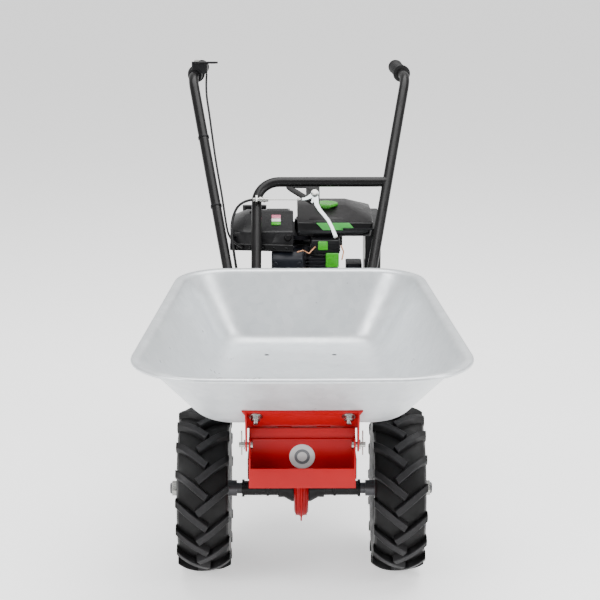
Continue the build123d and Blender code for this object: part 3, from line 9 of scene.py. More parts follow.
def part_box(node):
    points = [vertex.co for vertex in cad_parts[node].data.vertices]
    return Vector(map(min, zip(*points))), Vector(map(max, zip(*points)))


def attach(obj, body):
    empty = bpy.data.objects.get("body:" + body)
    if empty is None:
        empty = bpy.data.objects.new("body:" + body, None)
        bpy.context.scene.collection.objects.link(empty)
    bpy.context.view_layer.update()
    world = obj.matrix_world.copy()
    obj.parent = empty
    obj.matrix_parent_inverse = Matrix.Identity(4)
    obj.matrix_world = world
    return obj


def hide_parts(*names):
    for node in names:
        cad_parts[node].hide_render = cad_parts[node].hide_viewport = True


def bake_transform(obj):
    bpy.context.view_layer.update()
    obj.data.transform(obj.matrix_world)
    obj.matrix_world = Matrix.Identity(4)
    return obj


# Power wheelbarrow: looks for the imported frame. Lengths are metres; MM turns millimetres to metres.
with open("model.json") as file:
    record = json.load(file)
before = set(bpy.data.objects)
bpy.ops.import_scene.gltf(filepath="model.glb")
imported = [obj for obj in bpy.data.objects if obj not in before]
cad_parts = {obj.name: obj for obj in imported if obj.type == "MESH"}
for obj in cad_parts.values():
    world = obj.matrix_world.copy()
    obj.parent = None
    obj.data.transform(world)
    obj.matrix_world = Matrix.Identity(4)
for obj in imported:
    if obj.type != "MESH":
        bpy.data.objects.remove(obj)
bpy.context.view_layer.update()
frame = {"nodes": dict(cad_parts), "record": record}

MM = 0.001
axle_low, axle_high = (Vector(corner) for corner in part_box("axle_shaft"))
AXLE = (axle_low + axle_high) / 2
GROUND = Vector((0, AXLE.y, 0))      # the point on the floor below the axle; places are given from it


def at(x, y, z):
    """A place given in millimetres from the floor below the axle."""
    return GROUND + Vector((x, y, z)) * MM


def node_box(node):
    """Lowest and highest corners of a CAD node, in millimetres from the floor below the axle."""
    low, high = (Vector(corner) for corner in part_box(node))
    return (low - GROUND) / MM, (high - GROUND) / MM


# ---------------------------------------------------------------- finishes
class Finish:
    """A material whose textures read the piece's own Object coordinates."""

    def __init__(self, name, colour, roughness, metallic=0.0, coat=0.0):
        self.material = bpy.data.materials.new(name)
        self.material.use_nodes = True
        self.material.diffuse_color = (*colour, 1)
        self.tree = self.material.node_tree
        self.shader = self.tree.nodes["Principled BSDF"]
        self.shader.inputs["Base Color"].default_value = (*colour, 1)
        self.shader.inputs["Roughness"].default_value = roughness
        self.shader.inputs["Metallic"].default_value = metallic
        self.shader.inputs["Coat Weight"].default_value = coat
        self.shader.inputs["Coat Roughness"].default_value = 0.12
        self.shader.inputs["Specular IOR Level"].default_value = 0.5 if metallic else 0.22
        self.place = self.tree.nodes.new("ShaderNodeTexCoord").outputs["Object"]

    def stretched(self, scale):
        """Object coordinates drawn out along one direction, for brushing and flow marks."""
        mapping = self.tree.nodes.new("ShaderNodeMapping")
        mapping.inputs["Scale"].default_value = scale
        self.tree.links.new(self.place, mapping.inputs["Vector"])
        return mapping.outputs["Vector"]

    def noise(self, scale, detail=4.0, roughness=0.55, place=None):
        """Soft random pattern."""
        texture = self.tree.nodes.new("ShaderNodeTexNoise")
        texture.inputs["Scale"].default_value = scale
        texture.inputs["Detail"].default_value = detail
        texture.inputs["Roughness"].default_value = roughness
        self.tree.links.new(place or self.place, texture.inputs["Vector"])
        return texture.outputs["Fac"]

    def cells(self, scale):
        """Patches with straight borders, as zinc crystals have."""
        texture = self.tree.nodes.new("ShaderNodeTexVoronoi")
        texture.inputs["Scale"].default_value = scale
        self.tree.links.new(self.place, texture.inputs["Vector"])
        return texture.outputs["Color"]

    def ramp(self, value, stops):
        """Colours along a value, from a list of (position, colour)."""
        node = self.tree.nodes.new("ShaderNodeValToRGB")
        self.tree.links.new(value, node.inputs["Fac"])
        elements = node.color_ramp.elements
        while len(elements) < len(stops):
            elements.new(0.5)
        for element, (position, colour) in zip(elements, stops):
            element.position = position
            element.color = (*colour, 1)
        return node.outputs["Color"]

    def mix(self, amount, first, second):
        """Two colours mixed by an amount, which is a number or a pattern."""
        node = self.tree.nodes.new("ShaderNodeMix")
        node.data_type = "RGBA"
        for socket, value in ((node.inputs[0], amount), (node.inputs[6], first), (node.inputs[7], second)):
            if isinstance(value, (int, float)):
                socket.default_value = value
            elif isinstance(value, tuple):
                socket.default_value = (*value, 1)
            else:
                self.tree.links.new(value, socket)
        return node.outputs[2]

    def spread(self, value, low, high, span=(0.3, 0.7)):
        """A pattern whose own span is spread over another range of numbers."""
        node = self.tree.nodes.new("ShaderNodeMapRange")
        node.inputs["From Min"].default_value, node.inputs["From Max"].default_value = span
        node.inputs["To Min"].default_value = low
        node.inputs["To Max"].default_value = high
        self.tree.links.new(value, node.inputs["Value"])
        return node.outputs["Result"]

    def vector_math(self, operation, value, other=(0, 0, 0)):
        """A vector pattern worked on with a fixed vector, or its length."""
        node = self.tree.nodes.new("ShaderNodeVectorMath")
        node.operation = operation
        node.inputs[1].default_value = other
        self.tree.links.new(value, node.inputs[0])
        return node.outputs["Value" if operation == "LENGTH" else "Vector"]

    def colour_from(self, socket):
        """The base colour follows a pattern."""
        self.tree.links.new(socket, self.shader.inputs["Base Color"])

    def roughness_from(self, value, low, high):
        """The roughness follows a pattern between two numbers."""
        self.tree.links.new(self.spread(value, low, high), self.shader.inputs["Roughness"])

    def bump(self, heights, distance):
        """Fine relief from one or more (pattern, strength) pairs, laid over each other."""
        previous = None
        for height, strength in heights:
            node = self.tree.nodes.new("ShaderNodeBump")
            node.inputs["Strength"].default_value = strength
            node.inputs["Distance"].default_value = distance
            self.tree.links.new(height, node.inputs["Height"])
            if previous:
                self.tree.links.new(previous, node.inputs["Normal"])
            previous = node.outputs["Normal"]
        self.tree.links.new(previous, self.shader.inputs["Normal"])


def painted(name, colour, worn, roughness):
    """Sprayed paint: a little orange peel, faint colour drift and dull rubbed patches."""
    finish = Finish(name, colour, roughness)
    drift = finish.noise(9, 5)
    rubbed = finish.ramp(finish.noise(55, 8, 0.7), [(0.60, (0, 0, 0)), (0.78, (1, 1, 1))])
    darker = tuple(part * 0.78 for part in colour)
    base = finish.mix(drift, darker, tuple(min(1, part * 1.16) for part in colour))
    finish.colour_from(finish.mix(finish.mix(0.35, (0, 0, 0), rubbed), base, worn))
    finish.roughness_from(finish.noise(38, 4), roughness - 0.06, roughness + 0.12)
    finish.bump([(finish.noise(900, 2), 0.12), (finish.noise(160, 3), 0.08)], 0.0004)
    return finish.material


def bare_metal(name, colour, roughness, spread, grain=(1, 1, 1), relief=0.1):
    """Bare metal with a drawn or turned grain and slightly uneven shine."""
    finish = Finish(name, colour, roughness, metallic=1.0)
    lines = finish.noise(260, 6, 0.6, finish.stretched(grain))
    tint = tuple(part * 0.8 for part in colour)
    finish.colour_from(finish.mix(finish.noise(24, 6), tint, colour))
    finish.roughness_from(lines, roughness - spread, roughness + spread)
    finish.bump([(lines, relief)], 0.0003)
    return finish.material


def moulded(name, colour, roughness, grain, coat=0.0, dust=(0.022, 0.021, 0.020)):
    """Moulded plastic or rubber with a fine spark-eroded grain and a trace of dust."""
    finish = Finish(name, colour, roughness, coat=coat)
    dusty = finish.ramp(finish.noise(14, 8, 0.65), [(0.50, (0, 0, 0)), (0.85, (1, 1, 1))])
    base = finish.mix(finish.noise(45, 3), tuple(part * 0.85 for part in colour), colour)
    finish.colour_from(finish.mix(finish.mix(0.16, (0, 0, 0), dusty), base, dust))
    finish.roughness_from(finish.noise(70, 4), roughness - 0.05, roughness + 0.1)
    finish.bump([(finish.noise(1700, 2), grain), (finish.noise(220, 3), grain * 0.4)], 0.0003)
    return finish.material


def galvanised_sheet():
    """Hot-dip galvanised sheet: soft crystals, faint clouding and long drawing marks."""
    finish = Finish("galvanised sheet", (0.74, 0.76, 0.77), 0.33, metallic=0.5)
    crystals = finish.ramp(finish.cells(70), [(0.0, (0.60, 0.625, 0.645)), (1.0, (0.74, 0.76, 0.775))])
    clouds = finish.noise(7, 6, 0.6)
    drawn = finish.noise(90, 5, 0.6, finish.stretched((1.0, 0.12, 1.0)))
    finish.colour_from(finish.mix(clouds, (0.60, 0.63, 0.65), crystals))
    finish.roughness_from(finish.noise(26, 6, 0.65), 0.27, 0.45)
    finish.bump([(drawn, 0.10), (finish.noise(18, 3), 0.22), (finish.noise(600, 2), 0.05)], 0.0006)
    return finish.material


SHADE_TO_LUG_TOP_SPAN = (0.150, 0.163)          # from the axle: where the painted shade on the casing starts to give way to the lighter lug tops, and where it has fully done so


def tyre_rubber():
    """Black rubber: near black on the casing and in the grooves, which is painted shade, and greyer where it
    stands out furthest from the axle, which is partly scuffing and partly painted light.
    """
    finish = Finish("tyre rubber", (0.03, 0.03, 0.032), 0.62)
    from_axle = finish.vector_math("SUBTRACT", finish.place, AXLE)
    around = finish.vector_math("MULTIPLY", from_axle, (0, 1, 1))
    reach = finish.spread(finish.vector_math("LENGTH", around), 0, 1, SHADE_TO_LUG_TOP_SPAN)
    # Lug tops: greyer, partly scuffing and partly painted light.
    scuffed_and_lit = finish.mix(finish.noise(130, 8, 0.7), (0.008, 0.0078, 0.0085), (0.022, 0.0215, 0.023))
    # Casing and grooves: painted shade, near black.
    painted_casing_shade = finish.mix(finish.noise(40, 5), (0.002, 0.0019, 0.002), (0.005, 0.0048, 0.005))
    finish.colour_from(finish.mix(reach, painted_casing_shade, scuffed_and_lit))
    finish.roughness_from(finish.noise(60, 5), 0.36, 0.58)
    finish.bump([(finish.noise(1500, 3), 0.30), (finish.noise(240, 4), 0.20)], 0.0005)
    return finish.material


PAINT_RED = painted("red powder coat", (0.36, 0.0, 0.003), (0.20, 0.0, 0.002), 0.36)
PAINT_BLACK = painted("black frame paint", (0.004, 0.0037, 0.004), (0.02, 0.019, 0.018), 0.28)
PAINT_RIM = painted("dark rim paint", (0.008, 0.008, 0.009), (0.03, 0.03, 0.03), 0.40)
GALVANISED = galvanised_sheet()
TYRE = tyre_rubber()
ZINC = bare_metal("zinc plate", (0.42, 0.42, 0.40), 0.25, 0.08, (1, 1, 6), 0.08)
STEEL = bare_metal("turned steel", (0.09, 0.09, 0.095), 0.36, 0.10, (0.2, 4, 4), 0.15)
POLISHED = bare_metal("polished lever steel", (0.40, 0.43, 0.43), 0.16, 0.05, (1, 8, 1), 0.05)
ALUMINIUM = bare_metal("die-cast aluminium", (0.035, 0.035, 0.040), 0.46, 0.10, (1, 1, 1), 0.35)
BRONZE = bare_metal("gear bronze", (0.60, 0.38, 0.16), 0.35, 0.08, (1, 1, 1), 0.1)
BLACK_PLASTIC = moulded("grained black moulding", (0.003, 0.003, 0.0038), 0.30, 0.2)
GLOSS_BLACK = moulded("glossy black moulding", (0.002, 0.002, 0.0025), 0.14, 0.03, coat=0.1)
GREY_MOULDING = moulded("weathered grey moulding", (0.012, 0.011, 0.0115), 0.32, 0.2)
GREEN_PLASTIC = moulded(
    "bright green moulding", (0.035, 0.34, 0.008), 0.26, 0.04, coat=0.3, dust=(0.05, 0.32, 0.03)
)
GREEN_WINDOW = moulded("green window", (0.05, 0.34, 0.06), 0.18, 0.02, coat=0.5, dust=(0.16, 0.42, 0.15))
SOFT_RUBBER = moulded("soft black rubber", (0.007, 0.007, 0.0075), 0.5, 0.3)
CERAMIC = moulded("white glaze", (0.80, 0.79, 0.75), 0.15, 0.02, coat=0.7, dust=(0.6, 0.58, 0.52))
EMBLEM_WHITE = moulded("white emblem enamel", (0.55, 0.55, 0.55), 0.22, 0.02, coat=0.3, dust=(0.5, 0.5, 0.5))
EMBLEM_GREY = moulded("grey emblem ring", (0.14, 0.15, 0.16), 0.26, 0.02, coat=0.3, dust=(0.16, 0.16, 0.16))
MUFFLER_BLUE = painted("heat-dulled casing", (0.006, 0.0075, 0.012), (0.02, 0.02, 0.023), 0.36)
LABEL_PINK = moulded("pink label", (0.70, 0.20, 0.30), 0.3, 0.02, dust=(0.6, 0.3, 0.35))
LABEL_WHITE = moulded("white label", (0.78, 0.78, 0.76), 0.3, 0.02, dust=(0.6, 0.6, 0.58))
COPPER = bare_metal("copper wire", (0.72, 0.36, 0.20), 0.3, 0.08)

SLOT_OF = {
    "tyre_rubber": TYRE, "galvanised_sheet": GALVANISED, "red_paint": PAINT_RED,
    "black_paint": PAINT_BLACK, "rim_paint": PAINT_RIM, "zinc_plate": ZINC,
    "machined_steel": STEEL, "polished_steel": POLISHED, "cast_aluminium": ALUMINIUM,
    "bronze": BRONZE, "black_plastic": BLACK_PLASTIC, "gloss_black_plastic": GLOSS_BLACK,
    "green_plastic": GREEN_PLASTIC, "soft_rubber": SOFT_RUBBER, "white_ceramic": CERAMIC,
    "emblem_white": EMBLEM_WHITE,
}
NODE_SLOT = {part["node"]: part["material_slot"] for part in frame["record"]["subparts"]}


# ---------------------------------------------------------------- mesh building
SMOOTH_BELOW = math.radians(35)       # faces that meet at less than this are shaded as one
ROUND_ABOVE = 0.6                     # radians; edges sharper than this get a bevel
LEAN_FOOT = (400, 526)                # Y and Z where the handlebar's leaning plane starts
LEAN = (0.6247, 0.78087)              # Y and Z of one step up that plane


def on_handlebar(x, along, out):
    """A place given by how far it is along the handlebar's leaning plane, and out from it."""
    return (
        x, LEAN_FOOT[0] + LEAN[0] * along - LEAN[1] * out, LEAN_FOOT[1] + LEAN[1] * along + LEAN[0] * out,
    )


def round_edges(bit, bevel, segments):
    """Bevels a mesh's sharp edges by a width in millimetres."""
    sharp = [edge for edge in bit.edges if edge.is_manifold and edge.calc_face_angle() > ROUND_ABOVE]
    bmesh.ops.bevel(
        bit, geom=sharp, offset=bevel * MM, segments=segments, profile=0.6, affect="EDGES", clamp_overlap=True
    )


def linked(name, data):
    """A new object in the scene."""
    made = bpy.data.objects.new(name, data)
    bpy.context.scene.collection.objects.link(made)
    return made


def skin(bit, rings):
    """Joins closed rings of corners, each to the next."""
    for near, far in zip(rings, rings[1:]):
        for number in range(len(near)):
            after = (number + 1) % len(near)
            bit.faces.new((near[number], near[after], far[after], far[number]))


def add_object(name, mesh, materials, smooth=True):
    """A finished piece's object at the origin, smooth except at its sharp edges."""
    piece = linked(name, mesh)
    for material in materials:
        mesh.materials.append(material)
    if smooth:
        for face in mesh.polygons:
            face.use_smooth = True
        mesh.set_sharp_from_angle(angle=SMOOTH_BELOW)
    return piece


class Shape:
    """Gathers solid bits into one mesh. Places are millimetres from the floor below the axle."""

    def __init__(self):
        self.mesh = bmesh.new()
        self.finish_number = 0

    def absorb(self, bit, bevel, segments):
        """Rounds a bit's sharp edges and adds it to the shape."""
        bmesh.ops.recalc_face_normals(bit, faces=bit.faces)
        if bevel:
            round_edges(bit, bevel, segments)
        for face in bit.faces:
            face.material_index = self.finish_number
        temporary = bpy.data.meshes.new("bit")
        bit.to_mesh(temporary)
        bit.free()
        self.mesh.from_mesh(temporary)
        bpy.data.meshes.remove(temporary)

    def box(self, low, high, bevel=1.5, segments=2):
        """Block between two corners."""
        bit = bmesh.new()
        bmesh.ops.create_cube(bit, size=1)
        size = Vector(high) - Vector(low)
        middle = at(*((Vector(high) + Vector(low)) / 2))
        bit.transform(Matrix.Translation(middle) @ Matrix.Diagonal((*(size * MM), 1)))
        self.absorb(bit, bevel, segments)

    def prism(self, outline, x, bevel=2.0, segments=3):
        """Outline of (Y, Z) corners carried across from one X to another."""
        bit = bmesh.new()
        ends = []
        for place in x:
            ends.append([bit.verts.new(at(place, y, z)) for y, z in outline])
        bit.faces.new(ends[0])
        bit.faces.new(ends[1][::-1])
        count = len(outline)
        for number in range(count):
            after = (number + 1) % count
            bit.faces.new((ends[0][number], ends[1][number], ends[1][after], ends[0][after]))
        self.absorb(bit, bevel, segments)

    def lathe(self, profile, start, direction, sides=48, closed=False):
        """Turned bit: (distance along, radius) corners spun about a line; closed makes a hollow ring."""
        bit = bmesh.new()
        along = Vector(direction).normalized()
        side = along.orthogonal().normalized()
        other = along.cross(side)
        rings = []
        for distance, radius in profile:
            ring = []
            for number in range(sides):
                angle = 2 * math.pi * number / sides
                out = (side * math.cos(angle) + other * math.sin(angle)) * max(radius, 0.01)
                ring.append(bit.verts.new(at(*(Vector(start) + along * distance + out))))
            rings.append(ring)
        if closed:
            rings.append(rings[0])
        skin(bit, rings)
        if not closed:
            bit.faces.new(rings[0][::-1])
            bit.faces.new(rings[-1])
        self.absorb(bit, 0, 1)

    def hull(self, points, bevel=2.0, segments=2):
        """Faceted bit: the tightest skin round a set of corners."""
        bit = bmesh.new()
        for place in points:
            bit.verts.new(at(*place))
        made = bmesh.ops.convex_hull(bit, input=bit.verts, use_existing_faces=False)
        loose = {vert for vert in made["geom_interior"] if isinstance(vert, bmesh.types.BMVert)}
        bmesh.ops.delete(bit, geom=list(loose), context="VERTS")
        bmesh.ops.dissolve_limit(bit, angle_limit=math.radians(3), verts=bit.verts, edges=bit.edges)
        self.absorb(bit, bevel, segments)

    def slab(self, corners, thickness, bevel=0.6):
        """Thin raised patch with the given corners, standing out along its own face."""
        places = [Vector(corner) for corner in corners]
        out = (places[1] - places[0]).cross(places[2] - places[0]).normalized()
        if out.y > 0:
            out = -out
        sunk = [tuple(place - out * 1.5) for place in places]
        self.hull(sunk + [tuple(place + out * thickness) for place in places], bevel, 2)

    def ribbon(self, centre, widths, depth, bevel=1.0):
        """Flat bar along centre points (x, along, out) laid on the handlebar's leaning plane."""
        bit = bmesh.new()
        rings = []
        for number, (x, along) in enumerate(centre):
            before, after = centre[max(0, number - 1)], centre[min(len(centre) - 1, number + 1)]
            run = Vector((after[0] - before[0], after[1] - before[1])).normalized()
            across = Vector((-run.y, run.x)) * widths[number] / 2
            ring = []
            for side, level in ((1, depth[0]), (1, depth[1]), (-1, depth[1]), (-1, depth[0])):
                place = on_handlebar(x + across.x * side, along + across.y * side, level)
                ring.append(bit.verts.new(at(*place)))
            rings.append(ring)
        skin(bit, rings)
        bit.faces.new(rings[0][::-1])
        bit.faces.new(rings[-1])
        self.absorb(bit, bevel, 3)

    def rod(self, points, radius, sides=12):
        """Round rod through a few points."""
        for near, far in zip(points, points[1:]):
            length = (Vector(far) - Vector(near)).length
            self.lathe([(0, radius), (length, radius)], near, Vector(far) - Vector(near), sides)

    def as_mesh(self, name):
        """The whole shape as one plain mesh."""
        mesh = bpy.data.meshes.new(name)
        self.mesh.to_mesh(mesh)
        self.mesh.free()
        return mesh

    def done(self, name, finishes, body, nodes=()):
        """Makes the piece, puts it on its body and hides the CAD nodes it stands for."""
        piece = add_object(name, self.as_mesh(name), finishes)
        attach(piece, body)
        if nodes:
            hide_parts(*nodes)


def softened(node, bevel):
    """A CAD node's own shape with its sharp edges rounded, standing in for the node."""
    source = frame["nodes"][node]
    bit = bmesh.new()
    bit.from_mesh(source.data)
    bit.transform(source.matrix_world)
    bmesh.ops.remove_doubles(bit, verts=bit.verts, dist=0.00001)
    bmesh.ops.dissolve_limit(bit, angle_limit=math.radians(2), verts=bit.verts, edges=bit.edges)
    round_edges(bit, bevel, 2)
    mesh = bpy.data.meshes.new(node + "_softened")
    bit.to_mesh(mesh)
    bit.free()
    mesh.materials.clear()
    piece = add_object(node + "_finished", mesh, [SLOT_OF[NODE_SLOT[node]]])
    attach(piece, BODY_OF[node])
    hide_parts(node)


BODY_OF = {
    node: body for body, nodes in frame["record"]["behaviour"]["bodies"].items() for node in nodes
}


# ---------------------------------------------------------------- repeated shapes
def copying_tree(name, extra_inputs):
    """Geometry nodes that set copies of a shape on the points of a line."""
    tree = bpy.data.node_groups.new(name, "GeometryNodeTree")
    for title, kind in [("Geometry", "Geometry"), ("Count", "Int"), *extra_inputs, ("Finish", "Material")]:
        tree.interface.new_socket(title, in_out="INPUT", socket_type="NodeSocket" + kind)
    tree.interface.new_socket("Geometry", in_out="OUTPUT", socket_type="NodeSocketGeometry")
    node, link = tree.nodes.new, tree.links.new
    inputs, outputs = node("NodeGroupInput"), node("NodeGroupOutput")
    line = node("GeometryNodeMeshLine")
    link(inputs.outputs["Count"], line.inputs["Count"])
    copies = node("GeometryNodeInstanceOnPoints")
    link(line.outputs["Mesh"], copies.inputs["Points"])
    link(inputs.outputs["Geometry"], copies.inputs["Instance"])
    real = node("GeometryNodeRealizeInstances")
    link(copies.outputs[0], real.inputs[0])
    finish = node("GeometryNodeSetMaterial")
    link(real.outputs[0], finish.inputs["Geometry"])
    link(inputs.outputs["Finish"], finish.inputs["Material"])
    link(finish.outputs[0], outputs.inputs["Geometry"])
    return tree, inputs, line, copies


def ring_tree():
    """Copies set round a line parallel to X."""
    tree, inputs, line, copies = copying_tree(
        "ring of copies", [("Start angle", "Float"), ("Centre", "Vector")]
    )
    node, link = tree.nodes.new, tree.links.new
    line.inputs["Offset"].default_value = (0, 0, 0)
    link(inputs.outputs["Centre"], line.inputs["Start Location"])
    step = node("ShaderNodeMath")
    step.operation = "DIVIDE"
    step.inputs[0].default_value = 2 * math.pi
    link(inputs.outputs["Count"], step.inputs[1])
    angle = node("ShaderNodeMath")
    angle.operation = "MULTIPLY_ADD"
    link(node("GeometryNodeInputIndex").outputs[0], angle.inputs[0])
    link(step.outputs[0], angle.inputs[1])
    link(inputs.outputs["Start angle"], angle.inputs[2])
    turn = node("ShaderNodeCombineXYZ")
    link(angle.outputs[0], turn.inputs["X"])
    link(turn.outputs[0], copies.inputs["Rotation"])
    return tree


def row_tree():
    """Copies set along a straight row."""
    tree, inputs, line = copying_tree("row of copies", [("Spacing", "Vector")])[:3]
    tree.links.new(inputs.outputs["Spacing"], line.inputs["Offset"])
    return tree


RING, ROW = ring_tree(), row_tree()


def copied(name, seed_mesh, tree, settings, body):
    """Runs a copying tree on a seed shape and keeps the result as a plain mesh on a body."""
    seed = linked(name + "_seed", seed_mesh)
    modifier = seed.modifiers.new("copies", "NODES")
    modifier.node_group = tree
    for item in tree.interface.items_tree:
        if item.in_out == "INPUT" and item.name in settings:
            modifier[item.identifier] = settings[item.name]
    evaluated = seed.evaluated_get(bpy.context.evaluated_depsgraph_get())
    mesh = bpy.data.meshes.new_from_object(evaluated)
    bpy.data.objects.remove(seed)
    piece = add_object(name, mesh, ())
    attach(piece, body)
    return piece


# ---------------------------------------------------------------- tyres
TYRE_R = AXLE.z
LUGS = 16
LUG_START = 0.12                      # radians, where the first lug stands
CASING_R, BEAD_R, BULGE_R = 151, 78, 137
tyre_low, tyre_high = node_box("right_tyre")
TYRE_MIDDLE = (tyre_low.x + tyre_high.x) / 2
TYRE_HALF = (tyre_high.x - tyre_low.x) / 2 - 0.3


def crown_radius(across):
    """Radius of the lugs' tops at a distance from the tyre's middle, in millimetres."""
    edge = min(1, abs(across) / TYRE_HALF)
    return TYRE_R / MM - 0.4 - 13.5 * edge ** 2.6


def carcass_radius(across):
    """Radius of the casing under the lugs."""
    edge = min(1, abs(across) / (TYRE_HALF - 3))
    return CASING_R - 9 * edge ** 2.2


def lug_mesh(row):
    """One slanted bar, from past the middle of the tread to below the shoulder."""
    bit = bmesh.new()
    steps, start, reach = 10, -9, TYRE_HALF - 0.6
    sections = []
    for number in range(steps + 1):
        share = number / steps
        middle = start + (reach - start) * share
        half_top = 5.8 + 1.6 * share
        half_foot = half_top + 2.2
        section = []
        for offset, drop in (
            (-half_foot, None), (-half_top, 1.1), (1.3 - half_top, 0), (half_top - 1.3, 0), (half_top, 1.1),
            (half_foot, None),
        ):
            # The inner end is cut square to the bar, the outer end follows the shoulder.
            across = middle - 0.62 * offset * (1 - share)
            radius = carcass_radius(across) - 3 if drop is None else crown_radius(across) - drop
            angle = (0.82 * middle + offset) / 160
            section.append(
                bit.verts.new(
                    Vector((row * across, -radius * math.cos(angle), radius * math.sin(angle))) * MM
                )
            )
        sections.append(section)
    # The outer end leans down the sidewall.
    last = []
    for number, vertex in enumerate(sections[-1]):
        place = vertex.co / MM
        at_foot = number in (0, 5)
        inward = 0.86 if at_foot else 0.90
        across = TYRE_HALF - (6.0 if at_foot else 0.8)
        last.append(bit.verts.new(Vector((row * across, place.y * inward, place.z * inward)) * MM))
    sections.append(last)
    skin(bit, sections)
    bit.faces.new(sections[0])
    bit.faces.new(sections[-1][::-1])
    bmesh.ops.recalc_face_normals(bit, faces=bit.faces)
    mesh = bpy.data.meshes.new("lug")
    bit.to_mesh(mesh)
    bit.free()
    return mesh


def casing_profile():
    """(across, radius) corners of the tyre's casing, from one bead round the crown to the other."""
    profile = []
    bead, bulge = 37.8, TYRE_HALF - 2.5
    for share in range(0, 21):
        turn = share / 20
        across = bead + (bulge - bead) * math.sin(math.pi * min(turn * 1.12, 1) * 0.5)
        radius = BEAD_R + (BULGE_R - BEAD_R) * turn
        rib = 0.9 * math.exp(-((radius - 96) / 1.6) ** 2) + 0.7 * math.exp(-((radius - 124) / 1.2) ** 2)
        profile.append((across + rib, radius))
    for share in range(1, 13):
        across = bulge * (1 - share / 12)
        profile.append((across, carcass_radius(across)))
    mirrored = [(-across, radius) for across, radius in profile[:-1]][::-1]
    return profile + mirrored


def make_tyre(side, word):
    """Casing turned from its profile, and two rows of lugs half a step apart."""
    middle = side * TYRE_MIDDLE
    start = (middle, 0, AXLE.z / MM)
    casing = Shape()
    casing.lathe([(-across, radius) for across, radius in casing_profile()], start, (1, 0, 0), 160, True)
    casing.done(word + "_tyre_casing", [TYRE], "drive_axle", [word + "_tyre"])
    centre = Vector((middle * MM, AXLE.y, AXLE.z))
    for row, shift in ((-1, 0.0), (1, math.pi / LUGS)):
        lugs = copied(
            word + "_tyre_lugs_" + ("inner" if row * side < 0 else "outer"), lug_mesh(row), RING,
            {"Count": LUGS, "Start angle": shift + LUG_START, "Centre": centre, "Finish": TYRE}, "drive_axle",
        )


for side, word in ((-1, "left"), (1, "right")):
    make_tyre(side, word)


# ---------------------------------------------------------------- bin
bin_low, bin_high = node_box("bin")
FLOOR_Z = node_box("floor_bolts")[1].z
ROUND_STEPS, SIDE_STEPS = 12, 18
FLOOR_Y, FLOOR_HALF = (-280, 285), (187, 159)      # floor: front and rear edge, half widths there
WALL_HALF = (300.5, 234.5)                         # top of the wall: half widths at front and rear
FLOOR_ROUND, WALL_ROUND = 64, (121, 91)            # corner radii
RIM_OUT = 18.5                                     # the rolled rim stands out from the wall
RIM_Z, RIM_RISE = 526.2, 12.6                      # height at the front, and what the rear adds
LIP_SHARE = 0.945                                  # share of the wall where it starts to turn out


def rounded_outline(front_y, rear_y, half_front, half_rear, front_r, rear_r):
    """Points round a tapered outline with rounded corners, the same number whatever the size."""
    corners = [
        (Vector((half_front, front_y)), front_r), (Vector((half_rear, rear_y)), rear_r),
        (Vector((-half_rear, rear_y)), rear_r), (Vector((-half_front, front_y)), front_r),
    ]
    arcs = []
    for number, (corner, radius) in enumerate(corners):
        before = (corners[number - 1][0] - corner).normalized()
        after = (corners[(number + 1) % 4][0] - corner).normalized()
        half_turn = before.angle(after) / 2
        centre = corner + (before + after).normalized() * (radius / math.sin(half_turn))
        start = corner + before * (radius / math.tan(half_turn)) - centre
        end = corner + after * (radius / math.tan(half_turn)) - centre
        sweep = start.angle_signed(end)
        arc = []
        for step in range(ROUND_STEPS + 1):
            turn = Matrix.Rotation(-sweep * step / ROUND_STEPS, 2)
            arc.append(centre + turn @ start)
        arcs.append(arc)
    points = []
    for number, arc in enumerate(arcs):
        points.extend(arc)
        target = arcs[(number + 1) % 4][0]
        for step in range(1, SIDE_STEPS):
            points.append(arc[-1].lerp(target, step / SIDE_STEPS))
    return points


def bin_ring(share, inset):
    """Outline at a share of the way from the floor up to the rim, moved in by an inset."""
    front_y = FLOOR_Y[0] + (bin_low.y + RIM_OUT - FLOOR_Y[0]) * share + inset
    rear_y = FLOOR_Y[1] + (bin_high.y - RIM_OUT - FLOOR_Y[1]) * share - inset
    half_front, half_rear = (low + (top - low) * share - inset for low, top in zip(FLOOR_HALF, WALL_HALF))
    front_r, rear_r = (FLOOR_ROUND + (top - FLOOR_ROUND) * share - inset for top in WALL_ROUND)
    outline = rounded_outline(front_y, rear_y, half_front, half_rear, max(8, front_r), max(8, rear_r))
    for point in outline:
        # The front edge is slightly bowed.
        point.y += 7 * share * (point.x / half_front) ** 2 * max(0, point.y / front_y)
    return outline


def rim_height(y):
    """Height of the rim, which rises slightly towards the rear."""
    share = (y - bin_low.y) / (bin_high.y - bin_low.y)
    return RIM_Z + RIM_RISE * share


